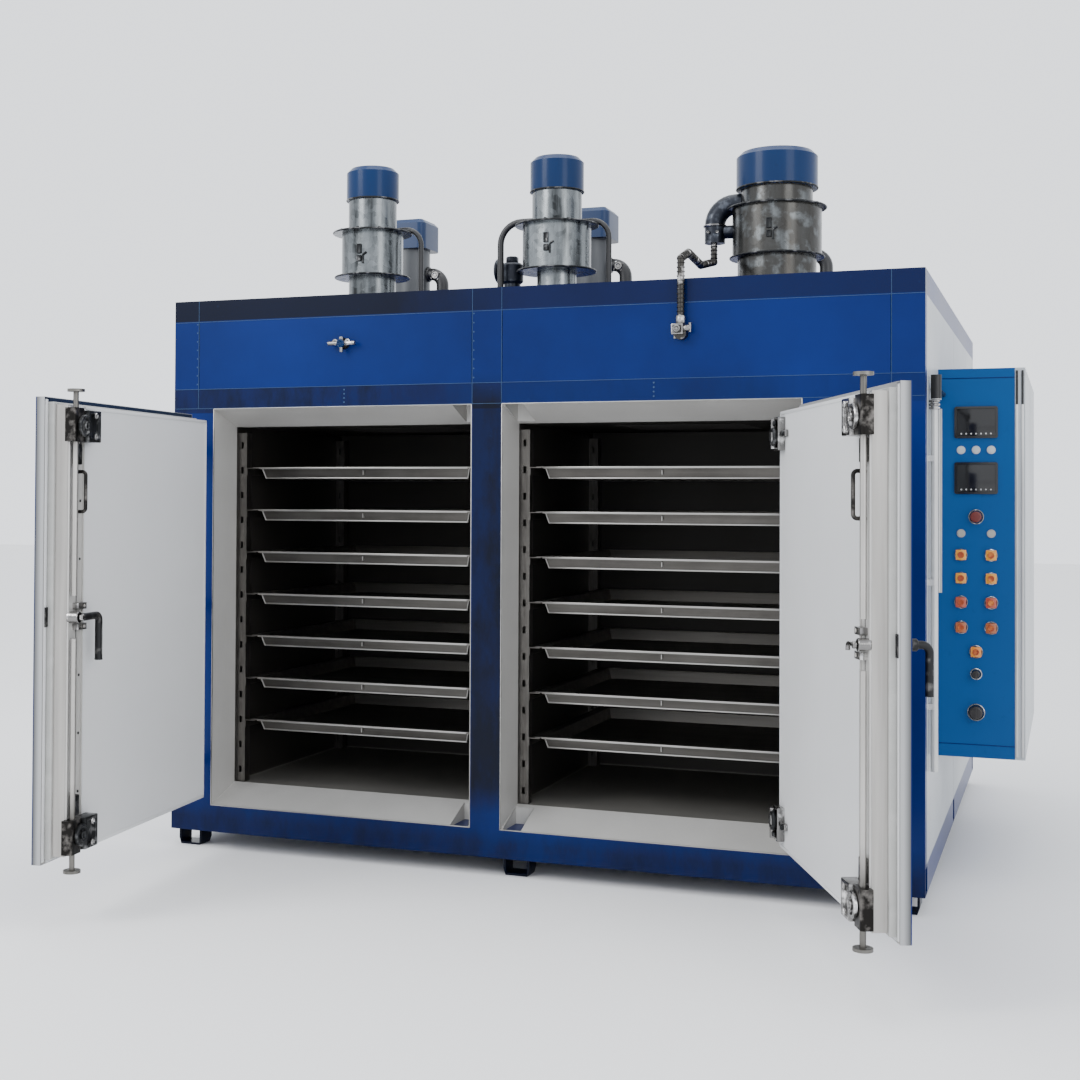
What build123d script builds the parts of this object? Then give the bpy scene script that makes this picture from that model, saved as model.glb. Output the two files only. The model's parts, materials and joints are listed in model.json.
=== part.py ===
from build123d import *
import math
import os

os.makedirs("parts", exist_ok=True)

# Cabinet. The origin is on the floor under the centre of the cabinet, +Y runs into it.
cabinet_width = 2900.0
cabinet_depth = 2650.0
cabinet_height = 2100.0
foot_height = 65.0
sheet = 2.5
seam = 3.0

# Front levels and widths
opening_width = 1100.0
opening_height = 1568.0
sill_height = 103.0
lintel_height = 77.0
fascia_height = 85.0
corner_post_width = 110.0
left_pillar_width = 178.0
centre_post_width = 116.0
front_fold_depth = 60.0

# Base frame and feet
base_height = 100.0
base_tube_width = 80.0
base_tube_wall = 5.0
base_plate = 3.0
foot_length = 100.0
foot_width = 80.0
foot_plate = 8.0
foot_inset = 70.0

# Side and back panels
panel_thickness = 40.0
panel_seam = 6.0

# Chambers and the splayed throat round each opening
throat_depth = 170.0
throat_drop = 65.0
throat_taper = 8.0
liner_depth = 970.0
liner_sheet = 2.0
air_slot_count = 5
air_slot_length = 500.0
air_slot_width = 40.0
air_slot_pitch = 90.0

# Trays and racks
tray_count = 7
tray_pitch = 170.0
tray_lowest_rim = 486.0
tray_depth = 45.0
tray_length = 930.0
tray_rim = 28.0
tray_wall = 2.0
tray_draft = 12.0
tray_setback = 30.0
tray_side_clearance = 20.0
tray_seat = 0.2
rack_post = 40.0
rack_post_wall = 2.5
rack_headroom = 25.0
rack_slot_count = 14
rack_slot_height = 26.0
rack_slot_width = 12.0
runner_flat = 43.0
runner_drop = 30.0
runner_wall = 2.5

# Doors
door_side_gap = 6.0
door_end_gap = 29.0
door_flange = 32.0
door_plug = 68.0
door_ledge_free = 30.0
door_ledge_hinge = 14.0
door_ledge_end = 25.0
door_sheet = 2.0
seal_width = 9.0
seal_height = 24.0
left_open_angle = 84.0
right_open_angle = 113.4

# Hinges
hinge_axis_out = 16.0
left_hinge_side = 90.0
right_hinge_side = 30.0
hinge_barrel_radius = 11.0
hinge_pin_radius = 6.0
hinge_clearance = 0.05
hinge_knuckle = 40.0
hinge_axial_gap = 0.5
hinge_leaf_width = 46.0
hinge_leaf_thickness = 4.0
hinge_levels = (330.0, 950.0, 1570.0)
hinge_head_radius = 9.0
hinge_head_height = 5.0

# Lock gear on the inner face of each door
rod_radius = 9.0
rod_standoff = 20.0
rod_inset = 44.0
rod_head_radius = 28.0
rod_head_thickness = 9.0
rod_head_gap = 3.0
rod_running = 0.1
rod_travel = 40.0
rod_inner_end_gap = 70.0
guide_height = 110.0
guide_width = 70.0
guide_depth = 36.0
guide_end_gap = 10.0
lever_level = 994.0
lever_spindle_radius = 10.0
lever_hub_radius = 20.0
lever_standoff = 44.0
lever_arm = 92.0
lever_drop = 140.0
lever_bar_radius = 9.0
lever_outer_length = 150.0
handle_level = 1400.0
handle_span = 130.0
handle_radius = 6.0
handle_reach = 38.0
handle_offset = 35.0
keeper_margin = 4.0

# Roof units, front row: left, middle and right
fan_x = (-875.0, -50.0, 843.0)
fan_setback = 630.0
fan_neck_radius = (100.0, 80.0, 150.0)
fan_drum_radius = (130.0, 139.0, 170.0)
fan_flange_radius = (166.0, 168.0, 187.0)
fan_body_radius = (102.0, 101.0, 136.0)
fan_cowl_radius = (111.0, 109.0, 155.0)
fan_neck_top = (151.0, 140.0, 150.0)
fan_drum_top = (347.0, 334.0, 348.0)
fan_body_top = (500.0, 484.0, 437.0)
fan_cowl_top = (618.0, 605.0, 560.0)
fan_flange = 8.0
fan_wall = 4.0
cowl_wall = 3.0
cowl_skirt = 20.0
shaft_radius = 16.0
shaft_clearance = 0.1
wheel_radius = 170.0
wheel_height = 90.0
wheel_level = 1860.0
wheel_blade_count = 10
wheel_blade = 4.0
wheel_plate = 5.0

# Roof units, rear row
blower_x = (-1180.0, -240.0, 700.0)
blower_setback = 1750.0
blower_radius = 92.0
blower_cowl_side = 220.0
blower_cowl_level = 455.0
blower_top = 600.0
blower_outlet_level = 120.0
hose_radius = 23.0
hose_reach = 130.0
cable_radius = 9.0
cable_reach = (27.0, 77.0)
seat_gap = 0.2

# Valve and terminal housing beside two of the roof units
roof_valve_reach = 212.0
roof_valve_back = 55.0
roof_valve_radius = 34.0
roof_valve_neck = 22.0
roof_valve_height = 215.0
handwheel_level = 184.0
handwheel_reach = 58.0
handwheel_radius = 46.0
handwheel_bar = 6.0
handwheel_spoke = 4.0
terminal_width = 105.0
terminal_depth = 90.0
terminal_height = 170.0
terminal_level = 225.0
terminal_gap = 6.0
terminal_round = 20.0
terminal_stub = 26.0
terminal_stub_rise = 45.0

# Control cabinet on the right wall
control_setback = 523.0
control_width = 300.0
control_depth = 1350.0
control_height = 1405.0
control_level = 394.0
control_sheet = 2.5
control_door_thickness = 35.0
control_door_gap = 0.3
control_hinge_radius = 8.0
control_hinge_length = 90.0
control_pin_radius = 4.0
control_strap = 3.0
control_strap_reach = 60.0
button_radius = 11.0
button_clearance = 0.1
button_collar = 15.0
button_length = 22.0
button_proud = 11.0
button_travel = 5.0
display_width = 150.0
display_height = 115.0
display_depth = 8.0
emergency_radius = 20.0
selector_radius = 14.0
main_switch_radius = 24.0
knob_height = 24.0
knob_stem_radius = 7.0
knob_pointer_width = 7.0
knob_pointer_margin = 1.5
button_chamfer = 1.5
panel_column = 52.0
display_levels = (1210.0, 1008.0)
lamp_row_level = 1110.0
lamp_pair_levels = (808.0, 730.0, 646.0)
emergency_level = 868.0
button_pair_levels = (559.0, 468.0)
button_single_level = 381.0
selector_level = 301.0
main_switch_level = 163.0

# Pipe on the right wall, front fittings
pipe_radius = 12.5
pipe_setback = 130.0
pipe_low = 465.0
pipe_high = 1729.0
pipe_stand = 6.0
gland_radius = 18.0
gland_height = 85.0
clip_height = 20.0
clip_count = 3
wing_x = -698.0
wing_level = 1975.0
valve_x = 622.0
valve_level = 1990.0
fitting_radius = 22.0
fitting_depth = 34.0
wing_span = 56.0
wing_radius = 8.0
conduit_radius = 9.0
conduit_off = 22.0
conduit_drop = 75.0
conduit_span = 230.0
conduit_middle = 155.0
conduit_rise = 105.0
conduit_sag = 12.0
conduit_set_in = 90.0
conduit_shoulder = 68.0

# Derived places
front = -cabinet_depth / 2
back = cabinet_depth / 2
left = -cabinet_width / 2
right = cabinet_width / 2
base_low = foot_height
roof_top = foot_height + cabinet_height
opening_low = base_low + sill_height
opening_high = opening_low + opening_height
lintel_top = opening_high + lintel_height
fascia_low = roof_top - fascia_height
left_jamb = left + left_pillar_width
post_left = left_jamb + opening_width
post_right = post_left + centre_post_width
right_jamb = post_right + opening_width
liner_front = front + throat_depth
liner_back = liner_front + liner_depth
inner_low = opening_low + throat_drop
inner_high = opening_high - throat_drop
chamber_lefts = (left_jamb, post_right)
inner_width = opening_width - 2 * throat_taper
tray_rim_width = inner_width - 2 * rack_post - 2 * tray_side_clearance
door_thickness = door_flange + door_plug
door_low = opening_low + door_end_gap
door_high = opening_high - door_end_gap
door_reach = opening_width - door_side_gap
plug_start = door_side_gap + door_ledge_hinge
plug_end = door_reach - door_ledge_free
plug_low = door_low + door_ledge_end
plug_high = door_high - door_ledge_end
rod_place = door_reach - rod_inset
rod_depth = door_thickness + rod_standoff
control_front = front + control_setback
control_rear = control_front + control_depth
control_low = base_low + control_level
control_high = control_low + control_height
control_outer = right + control_width
control_inner = control_outer - control_door_thickness - control_door_gap
panel_middle = (right + control_inner) / 2
emergency_place = (panel_middle, control_low + emergency_level)
selector_place = (panel_middle, control_low + selector_level)
main_switch_place = (panel_middle, control_low + main_switch_level)
terminal_right = fan_x[2] - fan_flange_radius[2] - terminal_gap
terminal_x = terminal_right - terminal_width / 2


def block(x0, x1, y0, y1, z0, z1):
    """A box between two corners."""
    box = Box(x1 - x0, y1 - y0, z1 - z0)
    return Pos((x0 + x1) / 2, (y0 + y1) / 2, (z0 + z1) / 2) * box


def folded(x0, x1, y0, y1, z0, z1, wall):
    """A sheet face at y0 with its four edges folded back to y1."""
    outer = block(x0, x1, y0, y1, z0, z1)
    return outer - block(x0 + wall, x1 - wall, y0 + wall, y1 + wall, z0 + wall, z1 - wall)


def upright(radius, x, y, z0, z1):
    """A cylinder along Z."""
    return Pos(x, y, (z0 + z1) / 2) * Cylinder(radius, z1 - z0)


def along_y(radius, x, y0, y1, z):
    """A cylinder along Y."""
    return Pos(x, (y0 + y1) / 2, z) * Rot(90, 0, 0) * Cylinder(radius, y1 - y0)


def along_x(radius, x0, x1, y, z):
    """A cylinder along X."""
    return Pos((x0 + x1) / 2, y, z) * Rot(0, 90, 0) * Cylinder(radius, x1 - x0)


def turned(points, x, y):
    """A profile of radius and height points, revolved about an upright axis."""
    face = make_face(Plane.XZ * Polyline(*points, close=True))
    return Pos(x, y, 0) * revolve(face, Axis.Z)


def tube(points, radii, radius):
    """A round bar or hose on straight runs joined by tangent arcs."""
    path = FilletPolyline(*points, radius=radii)
    start = Plane(origin=path @ 0, z_dir=path % 0)
    return sweep(start * Circle(radius), path=path)


def save(name, pieces):
    """Writes one sub-part as a group of separate solids."""
    solids = []
    for piece in pieces:
        solids += list(piece.solids())
    for solid in solids:
        solid.label = name
    whole = Compound(label=name, children=solids)
    export_step(whole, f"parts/{name}.step")


def base_frame():
    """Welded tube frame, floor plate and bent plate feet."""
    low, high = base_low, base_low + base_height - base_plate
    inner_x, inner_y = base_tube_width, base_tube_width
    pieces = []

    def bar(x0, x1, y0, y1):
        outer = block(x0, x1, y0, y1, low, high)
        if x1 - x0 > y1 - y0:
            cut = block(x0, x1, y0 + base_tube_wall, y1 - base_tube_wall,
                        low + base_tube_wall, high - base_tube_wall)
        else:
            cut = block(x0 + base_tube_wall, x1 - base_tube_wall, y0, y1,
                        low + base_tube_wall, high - base_tube_wall)
        pieces.append(outer - cut)

    base_front = front + sheet + seam
    for y0 in (base_front, -inner_y / 2, back - inner_y):
        bar(left, right, y0, y0 + inner_y)
    for y0, y1 in ((base_front + inner_y, -inner_y / 2), (inner_y / 2, back - inner_y)):
        for x0 in (left, -inner_x / 2, right - inner_x):
            bar(x0, x0 + inner_x, y0, y1)
    pieces.append(block(left, right, base_front, back, high, high + base_plate))
    reach_x = right - foot_inset
    reach_y = back - foot_inset
    for x in (-reach_x, 0, reach_x):
        for y in (-reach_y, 0, reach_y):
            pieces.append(bent_foot(x, y))
    return pieces


def bent_foot(x, y):
    """A foot bent from one plate: a channel with tapered cheeks, open at both ends."""
    profile = make_face(Plane.XZ * Polyline(
        (-foot_length / 2, foot_height), (foot_length / 2, foot_height),
        (foot_length / 2, foot_plate * 3), (foot_length / 2 - foot_plate, 0),
        (foot_plate - foot_length / 2, 0), (-foot_length / 2, foot_plate * 3), close=True))
    body = extrude(profile, foot_width / 2, both=True)
    hollow = block(foot_plate - foot_length / 2, foot_length / 2 - foot_plate,
                   -foot_width, foot_width, foot_plate, foot_height - foot_plate)
    return Pos(x, y, 0) * (body - hollow)


def front_frame():
    """Folded sheet members round the openings: sill, posts, jambs and lintels."""
    y0, y1 = front, front + front_fold_depth
    low = base_low
    corner_left = left + corner_post_width
    corner_right = right - corner_post_width
    sill_back = y0 + sheet
    pieces = [block(left, right, y0, sill_back, low, opening_low)]
    above = opening_low
    pieces.append(folded(left, corner_left, y0, y1, above, fascia_low, sheet))
    pieces.append(folded(corner_left, left_jamb, y0, y1, above, lintel_top, sheet))
    pieces.append(folded(post_left, post_right, y0, y1, above, fascia_low, sheet))
    pieces.append(folded(right_jamb, corner_right, y0, y1, above, lintel_top, sheet))
    pieces.append(folded(corner_right, right, y0, y1, above, fascia_low, sheet))
    for x0, x1 in ((left_jamb, post_left), (post_right, right_jamb)):
        pieces.append(folded(x0, x1, y0, y1, opening_high, lintel_top, sheet))
    return pieces


def upper_panels():
    """Two removable access panels over the lintels."""
    y0, y1 = front, front + front_fold_depth
    spans = ((left + corner_post_width, post_left), (post_right, right - corner_post_width))
    low, high = lintel_top, fascia_low
    return [folded(x0 + seam, x1 - seam, y0, y1, low, high, sheet) for x0, x1 in spans]


def roof_pan():
    """Roof sheet with its edge folded down as the fascia, holed for the fan shafts."""
    outer = block(left, right, front, back, fascia_low, roof_top)
    inner = block(left + sheet, right - sheet, front + sheet, back - sheet,
                  fascia_low - sheet, roof_top - sheet)
    pan = outer - inner
    for x in fan_x:
        pan -= upright(shaft_radius + fan_wall, x, front + fan_setback, fascia_low, roof_top + 1)
    return [pan]


def side_panels(side):
    """Two insulated wall cassettes with a seam between them."""
    low, high = base_low + base_height, fascia_low
    start = front + front_fold_depth
    middle = (front + back) / 2
    outer = side * right
    inner = side * (right - panel_thickness)
    x0, x1 = min(outer, inner), max(outer, inner)
    pieces = []
    for y0, y1 in ((start, middle - panel_seam / 2), (middle + panel_seam / 2, back)):
        shell = block(x0, x1, y0, y1, low, high)
        core = block(x0 + sheet, x1 - sheet, y0 + sheet, y1 - sheet, low + sheet, high - sheet)
        pieces.append(shell - core)
    return pieces


def back_panel():
    """Insulated back wall in three cassettes between the side walls."""
    low, high = base_low + base_height, fascia_low
    x0 = left + panel_thickness
    count = 3
    pitch = (cabinet_width - 2 * panel_thickness) / count
    pieces = []
    for i in range(count):
        a = x0 + i * pitch + (panel_seam / 2 if i else 0)
        b = x0 + (i + 1) * pitch - (panel_seam / 2 if i < count - 1 else 0)
        shell = block(a, b, back - panel_thickness, back, low, high)
        core = block(a + sheet, b - sheet, back - panel_thickness + sheet, back - sheet,
                     low + sheet, high - sheet)
        pieces.append(shell - core)
    return pieces


def throat(x0):
    """Four splayed plates from the opening's edge to the chamber, mitred at the corners."""
    x1 = x0 + opening_width
    outer = (x0, x1, opening_low, opening_high)
    inner = (x0 + throat_taper, x1 - throat_taper, inner_low, inner_high)

    def frustum(grow, reach):
        near = Plane.XZ.offset(-(front + sheet))
        far = Plane.XZ.offset(-(liner_front + reach))
        faces = []
        for plane, (a, b, c, d) in ((near, outer), (far, inner)):
            shape = Rectangle(b - a + 2 * grow, d - c + 2 * grow)
            faces.append(plane * Pos((a + b) / 2, (c + d) / 2) * shape)
        return loft(faces)

    shell = frustum(0, 0) - frustum(-liner_sheet, 0)
    slot_from = rod_place - rod_head_radius - keeper_margin
    slot_to = rod_place + rod_head_radius + 3 * keeper_margin
    if x0 == left_jamb:
        a, b = x0 + slot_from, x0 + slot_to
    else:
        a, b = x1 - slot_to, x1 - slot_from
    slot_y1 = front + rod_depth + rod_head_radius + keeper_margin
    slots = block(a, b, front, slot_y1, inner_low - 2 * throat_drop, inner_high + 2 * throat_drop)
    return shell - slots


def throat_trims():
    return [throat(x0) for x0 in chamber_lefts]


def chamber_liners():
    """Floor, ceiling, side and back sheets of both chambers."""
    pieces = []
    for x0 in chamber_lefts:
        a = x0 + throat_taper
        b = a + inner_width
        y0, y1 = liner_front, liner_back
        pieces.append(block(a, b, y0, y1, inner_low - liner_sheet, inner_low))
        ceiling = block(a, b, y0, y1, inner_high, inner_high + liner_sheet)
        for i in range(air_slot_count):
            y = (y0 + y1) / 2 + (i - (air_slot_count - 1) / 2) * air_slot_pitch
            middle = (a + b) / 2
            ceiling -= block(middle - air_slot_length / 2, middle + air_slot_length / 2,
                             y - air_slot_width / 2, y + air_slot_width / 2,
                             inner_high - 1, inner_high + liner_sheet + 1)
        pieces.append(ceiling)
        low, high = inner_low - liner_sheet, inner_high + liner_sheet
        pieces.append(block(a - liner_sheet, a, y0, y1, low, high))
        pieces.append(block(b, b + liner_sheet, y0, y1, low, high))
        pieces.append(block(a - liner_sheet, b + liner_sheet, y1, y1 + liner_sheet, low, high))
    return pieces


def tray_rim_level(i):
    return tray_lowest_rim + i * tray_pitch


def rack_post_solid(x0, side, y0):
    """Slotted channel post; side is the direction of its open face towards the wall."""
    low, high = inner_low, inner_high - rack_headroom
    post = block(x0, x0 + rack_post, y0, y0 + rack_post, low, high)
    inner0 = x0 - 1 if side < 0 else x0 + rack_post_wall
    inner1 = x0 + rack_post - rack_post_wall if side < 0 else x0 + rack_post + 1
    post -= block(inner0, inner1, y0 + rack_post_wall, y0 + rack_post - rack_post_wall,
                  low - 1, high + 1)
    pitch = (high - low) / rack_slot_count
    middle = x0 + rack_post / 2
    for i in range(rack_slot_count):
        z = low + (i + 0.5) * pitch
        post -= block(middle - rack_slot_width / 2, middle + rack_slot_width / 2,
                      y0 - 1, y0 + rack_post_wall + 1,
                      z - rack_slot_height / 2, z + rack_slot_height / 2)
    return post


def tray_racks():
    """Four slotted posts a chamber, with an angle runner each side of every tray."""
    pieces = []
    front_y = liner_front + tray_setback / 2
    rear_y = liner_back - rack_post - tray_setback / 2
    for x0 in chamber_lefts:
        a = x0 + throat_taper
        b = a + inner_width
        for y0 in (front_y, rear_y):
            pieces.append(rack_post_solid(a, -1, y0))
            pieces.append(rack_post_solid(b - rack_post, 1, y0))
        for i in range(tray_count):
            top = tray_rim_level(i) - tray_wall - tray_seat
            for side, wall_x in ((1, a + rack_post), (-1, b - rack_post)):
                tip = wall_x + side * runner_flat
                web = wall_x + side * runner_wall
                flat = block(min(wall_x, tip), max(wall_x, tip), front_y, rear_y + rack_post,
                             top - runner_wall, top)
                drop = block(min(wall_x, web), max(wall_x, web), front_y, rear_y + rack_post,
                             top - runner_drop, top)
                pieces.append(flat + drop)
    return pieces


def tray(chamber, i):
    """Pressed tray: flat rim, sloped walls, flat floor."""
    x0 = chamber_lefts[chamber] + opening_width / 2
    y0 = liner_front + tray_setback
    centre = Pos(x0, y0 + tray_length / 2, tray_rim_level(i))
    top_x, top_y = tray_rim_width - 2 * tray_rim, tray_length - 2 * tray_rim
    low_x, low_y = top_x - 2 * tray_draft, top_y - 2 * tray_draft

    def bowl(shrink, floor):
        high = Pos(0, 0, 0) * Rectangle(top_x - 2 * shrink, top_y - 2 * shrink)
        low = Pos(0, 0, floor - tray_depth) * Rectangle(low_x - 2 * shrink, low_y - 2 * shrink)
        return loft([low, high])

    rim = Pos(0, 0, -tray_wall / 2) * Box(tray_rim_width, tray_length, tray_wall)
    body = rim + bowl(0, 0) - bowl(tray_wall, tray_wall)
    return [centre * body]


def door_map(side):
    """Jamb, direction and hinge offset of a door, whose own x runs from its hinge side."""
    if side < 0:
        return left_jamb, 1, left_hinge_side
    return right_jamb, -1, right_hinge_side


def open_door(side, piece):
    """Mirrors a right-hand piece and swings it to the angle of the rest pose."""
    jamb, way, axis_side = door_map(side)
    if way < 0:
        piece = mirror(piece, Plane.YZ)
    placed = Pos(jamb, front, 0) * piece
    axis = Axis((jamb - way * axis_side, front - hinge_axis_out, 0), (0, 0, 1))
    angle = -left_open_angle if way > 0 else right_open_angle
    return placed.rotate(axis, angle)


def door_skin(side):
    """Outer pan of a door with its leaves and knuckles of the hinges."""
    pan = folded(door_side_gap, door_reach, 0, door_flange, door_low, door_high, door_sheet)
    pan -= along_y(lever_spindle_radius + hinge_clearance, rod_place, -1, door_sheet + 1,
                   lever_level)
    for z in hinge_levels:
        pan += door_knuckle(z, door_map(side)[2])
    return [open_door(side, pan)]


def door_knuckle(z, axis_side):
    """Middle knuckle and leaf of one hinge, on the door."""
    low, high = z - hinge_knuckle / 2, z + hinge_knuckle / 2
    barrel = upright(hinge_barrel_radius, -axis_side, -hinge_axis_out, low, high)
    web = block(-axis_side, door_side_gap + hinge_leaf_thickness,
                -hinge_axis_out - hinge_leaf_thickness / 2,
                -hinge_axis_out + hinge_leaf_thickness / 2, low, high)
    step = block(door_side_gap, door_side_gap + hinge_leaf_thickness,
                 -hinge_axis_out - hinge_leaf_thickness / 2, 0, low, high)
    leaf = block(door_side_gap, door_side_gap + hinge_leaf_width, -hinge_leaf_thickness, 0,
                 low - hinge_knuckle, high + hinge_knuckle)
    bore = upright(hinge_pin_radius + hinge_clearance, -axis_side, -hinge_axis_out,
                   low - 1, high + 1)
    return barrel + web + step + leaf - bore


def hinge_pins():
    """Pin, outer knuckles and leaf of each hinge, on the cabinet."""
    pieces = []
    for side in (-1, 1):
        jamb, way, axis_side = door_map(side)
        for z in hinge_levels:
            low = z - hinge_knuckle / 2 - hinge_axial_gap
            high = z + hinge_knuckle / 2 + hinge_axial_gap
            bounds = ((low - hinge_knuckle, low), (high, high + hinge_knuckle))
            part = block(-axis_side - hinge_leaf_width, -axis_side,
                         -hinge_leaf_thickness, 0, low - hinge_knuckle, high + hinge_knuckle)
            for a, b in bounds:
                part += upright(hinge_barrel_radius, -axis_side, -hinge_axis_out, a, b)
                part += block(-axis_side - hinge_leaf_thickness, -axis_side,
                              -hinge_axis_out, 0, a, b)
            part += upright(hinge_pin_radius, -axis_side, -hinge_axis_out,
                            low - hinge_knuckle, high + hinge_knuckle)
            part += upright(hinge_head_radius, -axis_side, -hinge_axis_out,
                            high + hinge_knuckle, high + hinge_knuckle + hinge_head_height)
            if way < 0:
                part = mirror(part, Plane.YZ)
            pieces.append(Pos(jamb, front, 0) * part)
    return pieces


def door_panel(side):
    """Inner pan of a door, with the rod guides and the pull loop."""
    y0, y1 = door_flange, door_thickness
    outer = block(plug_start, plug_end, y0, y1, plug_low, plug_high)
    inner = block(plug_start + door_sheet, plug_end - door_sheet, y0 - 1, y1 - door_sheet,
                  plug_low + door_sheet, plug_high - door_sheet)
    collar = block(door_side_gap + door_sheet, door_reach - door_sheet, y0 - door_sheet, y0,
                   door_low + door_sheet, door_high - door_sheet)
    collar -= block(plug_start + door_sheet, plug_end - door_sheet, 0, y0 + 1,
                    plug_low + door_sheet, plug_high - door_sheet)
    pan = outer - inner + collar
    pan -= along_y(lever_spindle_radius + hinge_clearance, rod_place, y1 - 2 * door_sheet, y1 + 1,
                   lever_level)
    inset = guide_end_gap + guide_height / 2
    for z in (plug_low + inset, plug_high - inset):
        pan += rod_guide(z)
    pan += pull_loop()
    return [open_door(side, pan)]


def rod_guide(z):
    """Cast guide for a lock rod: a filleted block with a running bore."""
    x0 = rod_place - guide_width / 2
    body = block(x0, x0 + guide_width, door_thickness, door_thickness + guide_depth,
                 z - guide_height / 2, z + guide_height / 2)
    body = fillet(body.edges().filter_by(Axis.Z).group_by(Axis.Y)[-1], guide_depth / 3)
    bore = upright(rod_radius + rod_running, rod_place, rod_depth,
                   z - guide_height, z + guide_height)
    return body - bore


def pull_loop():
    """Bent bar pull on the inner face."""
    start = door_thickness - door_sheet / 2
    out = door_thickness + handle_reach
    z0, z1 = handle_level - handle_span / 2, handle_level + handle_span / 2
    x = rod_place - handle_offset
    points = ((x, start, z0), (x, out, z0), (x, out, z1), (x, start, z1))
    return tube(points, handle_radius * 2, handle_radius)


def door_seal(side):
    """Rubber seal round the plug, seated on the ledge of the outer pan."""
    y0 = door_flange
    outer = block(plug_start - seal_width, plug_end + seal_width, y0, y0 + seal_height,
                  plug_low - seal_width, plug_high + seal_width)
    outer = fillet(outer.edges().group_by(Axis.Y)[-1], seal_width / 2)
    inner = block(plug_start, plug_end, y0 - 1, y0 + seal_height + 1, plug_low, plug_high)
    return [open_door(side, outer - inner)]


def lock_rod(side, end):
    """A rod from beside the lever to its head past the door's end."""
    head_z = opening_high - rod_head_gap if end > 0 else opening_low + rod_head_gap
    inner_z = lever_level + end * rod_inner_end_gap
    a, b = min(head_z, inner_z), max(head_z, inner_z)
    rod = upright(rod_radius, rod_place, rod_depth, a, b)
    face = head_z - end * rod_head_thickness
    rod += upright(rod_head_radius, rod_place, rod_depth, min(head_z, face), max(head_z, face))
    return [open_door(side, rod)]


def lever(side):
    """Spindle through the door with the inner crank handle and the outer handle."""
    out = door_thickness + lever_standoff
    spindle = along_y(lever_spindle_radius, rod_place, -lever_standoff, out, lever_level)
    hub = along_y(lever_hub_radius, rod_place, door_thickness + hinge_axial_gap,
                  out + lever_bar_radius, lever_level)
    arm_tip = rod_place - lever_arm
    crank = tube(((rod_place, out, lever_level), (arm_tip, out, lever_level),
                  (arm_tip, out, lever_level - lever_drop)), lever_bar_radius * 2,
                 lever_bar_radius)
    outer_hub = along_y(lever_hub_radius, rod_place, -lever_standoff - lever_bar_radius,
                        -hinge_axial_gap, lever_level)
    outer_bar = tube(((rod_place, -lever_standoff, lever_level),
                      (rod_place - 1, -lever_standoff - lever_bar_radius,
                       lever_level - lever_outer_length / 4),
                      (rod_place, -lever_standoff, lever_level - lever_outer_length)),
                     lever_outer_length / 4, lever_bar_radius)
    return [open_door(side, spindle + hub + crank + outer_hub + outer_bar)]


def fan_units():
    """Neck, flanged drum and motor body of each front roof unit, turned about its shaft."""
    pieces = []
    y = front + fan_setback
    for i, x in enumerate(fan_x):
        neck, drum = fan_neck_radius[i], fan_drum_radius[i]
        rim, body = fan_flange_radius[i], fan_body_radius[i]
        z1, z2, z3 = (roof_top + top[i] for top in (fan_neck_top, fan_drum_top, fan_body_top))
        bore = shaft_radius + shaft_clearance
        foot = neck + (rim - drum)
        pieces.append(turned(((bore, roof_top), (foot, roof_top), (foot, roof_top + fan_flange),
                              (neck, roof_top + fan_flange), (neck, z1), (bore, z1)), x, y))
        drum_shell = turned(((bore, z1), (rim - fan_flange, z1), (rim - fan_flange, z1 + fan_flange),
                             (drum, z1 + fan_flange), (drum, z2 - fan_flange),
                             (rim, z2 - fan_flange), (rim, z2), (body, z2), (body, z2 - fan_flange),
                             (drum - fan_wall, z2 - fan_flange), (drum - fan_wall, z1 + fan_flange),
                             (bore, z1 + fan_flange)), x, y)
        pieces.append(drum_shell)
        pieces.append(turned(((bore, z2 - fan_flange), (body, z2 - fan_flange), (body, z3),
                              (0, z3), (0, z2 + fan_flange), (bore, z2 + fan_flange)), x, y))
    return pieces


def motor_cowls():
    """Domed blue cowls over the motors of the front row."""
    pieces = []
    y = front + fan_setback
    for i, x in enumerate(fan_x):
        cap, body = fan_cowl_radius[i], fan_body_radius[i]
        low, high = roof_top + fan_body_top[i], roof_top + fan_cowl_top[i]
        skirt = low - cowl_skirt
        dome = turned(((0, low), (body, low), (body, skirt), (cap, skirt),
                       (cap, high - cowl_skirt), (cap - cowl_skirt, high), (0, high)), x, y)
        inner = turned(((0, low + cowl_wall), (cap - cowl_wall, low + cowl_wall),
                        (cap - cowl_wall, high - cowl_skirt), (cap - cowl_skirt, high - cowl_wall),
                        (0, high - cowl_wall)), x, y)
        pieces.append(dome - inner)
    return pieces


def rear_blowers():
    """Upright blowers of the rear row under square cowls with rounded corners."""
    pieces = []
    y = front + blower_setback
    for x in blower_x:
        top = roof_top + blower_cowl_level
        foot = blower_radius + hose_radius
        pieces.append(turned(((0, roof_top), (foot, roof_top), (foot, roof_top + fan_flange),
                              (blower_radius, roof_top + fan_flange), (blower_radius, top),
                              (0, top)), x, y))
        cowl = Pos(x, y, top) * extrude(
            RectangleRounded(blower_cowl_side, blower_cowl_side, blower_cowl_side / 6),
            blower_top - blower_cowl_level)
        pieces.append(chamfer(cowl.edges().group_by(Axis.Z)[-1], cowl_skirt))
    return pieces


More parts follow.
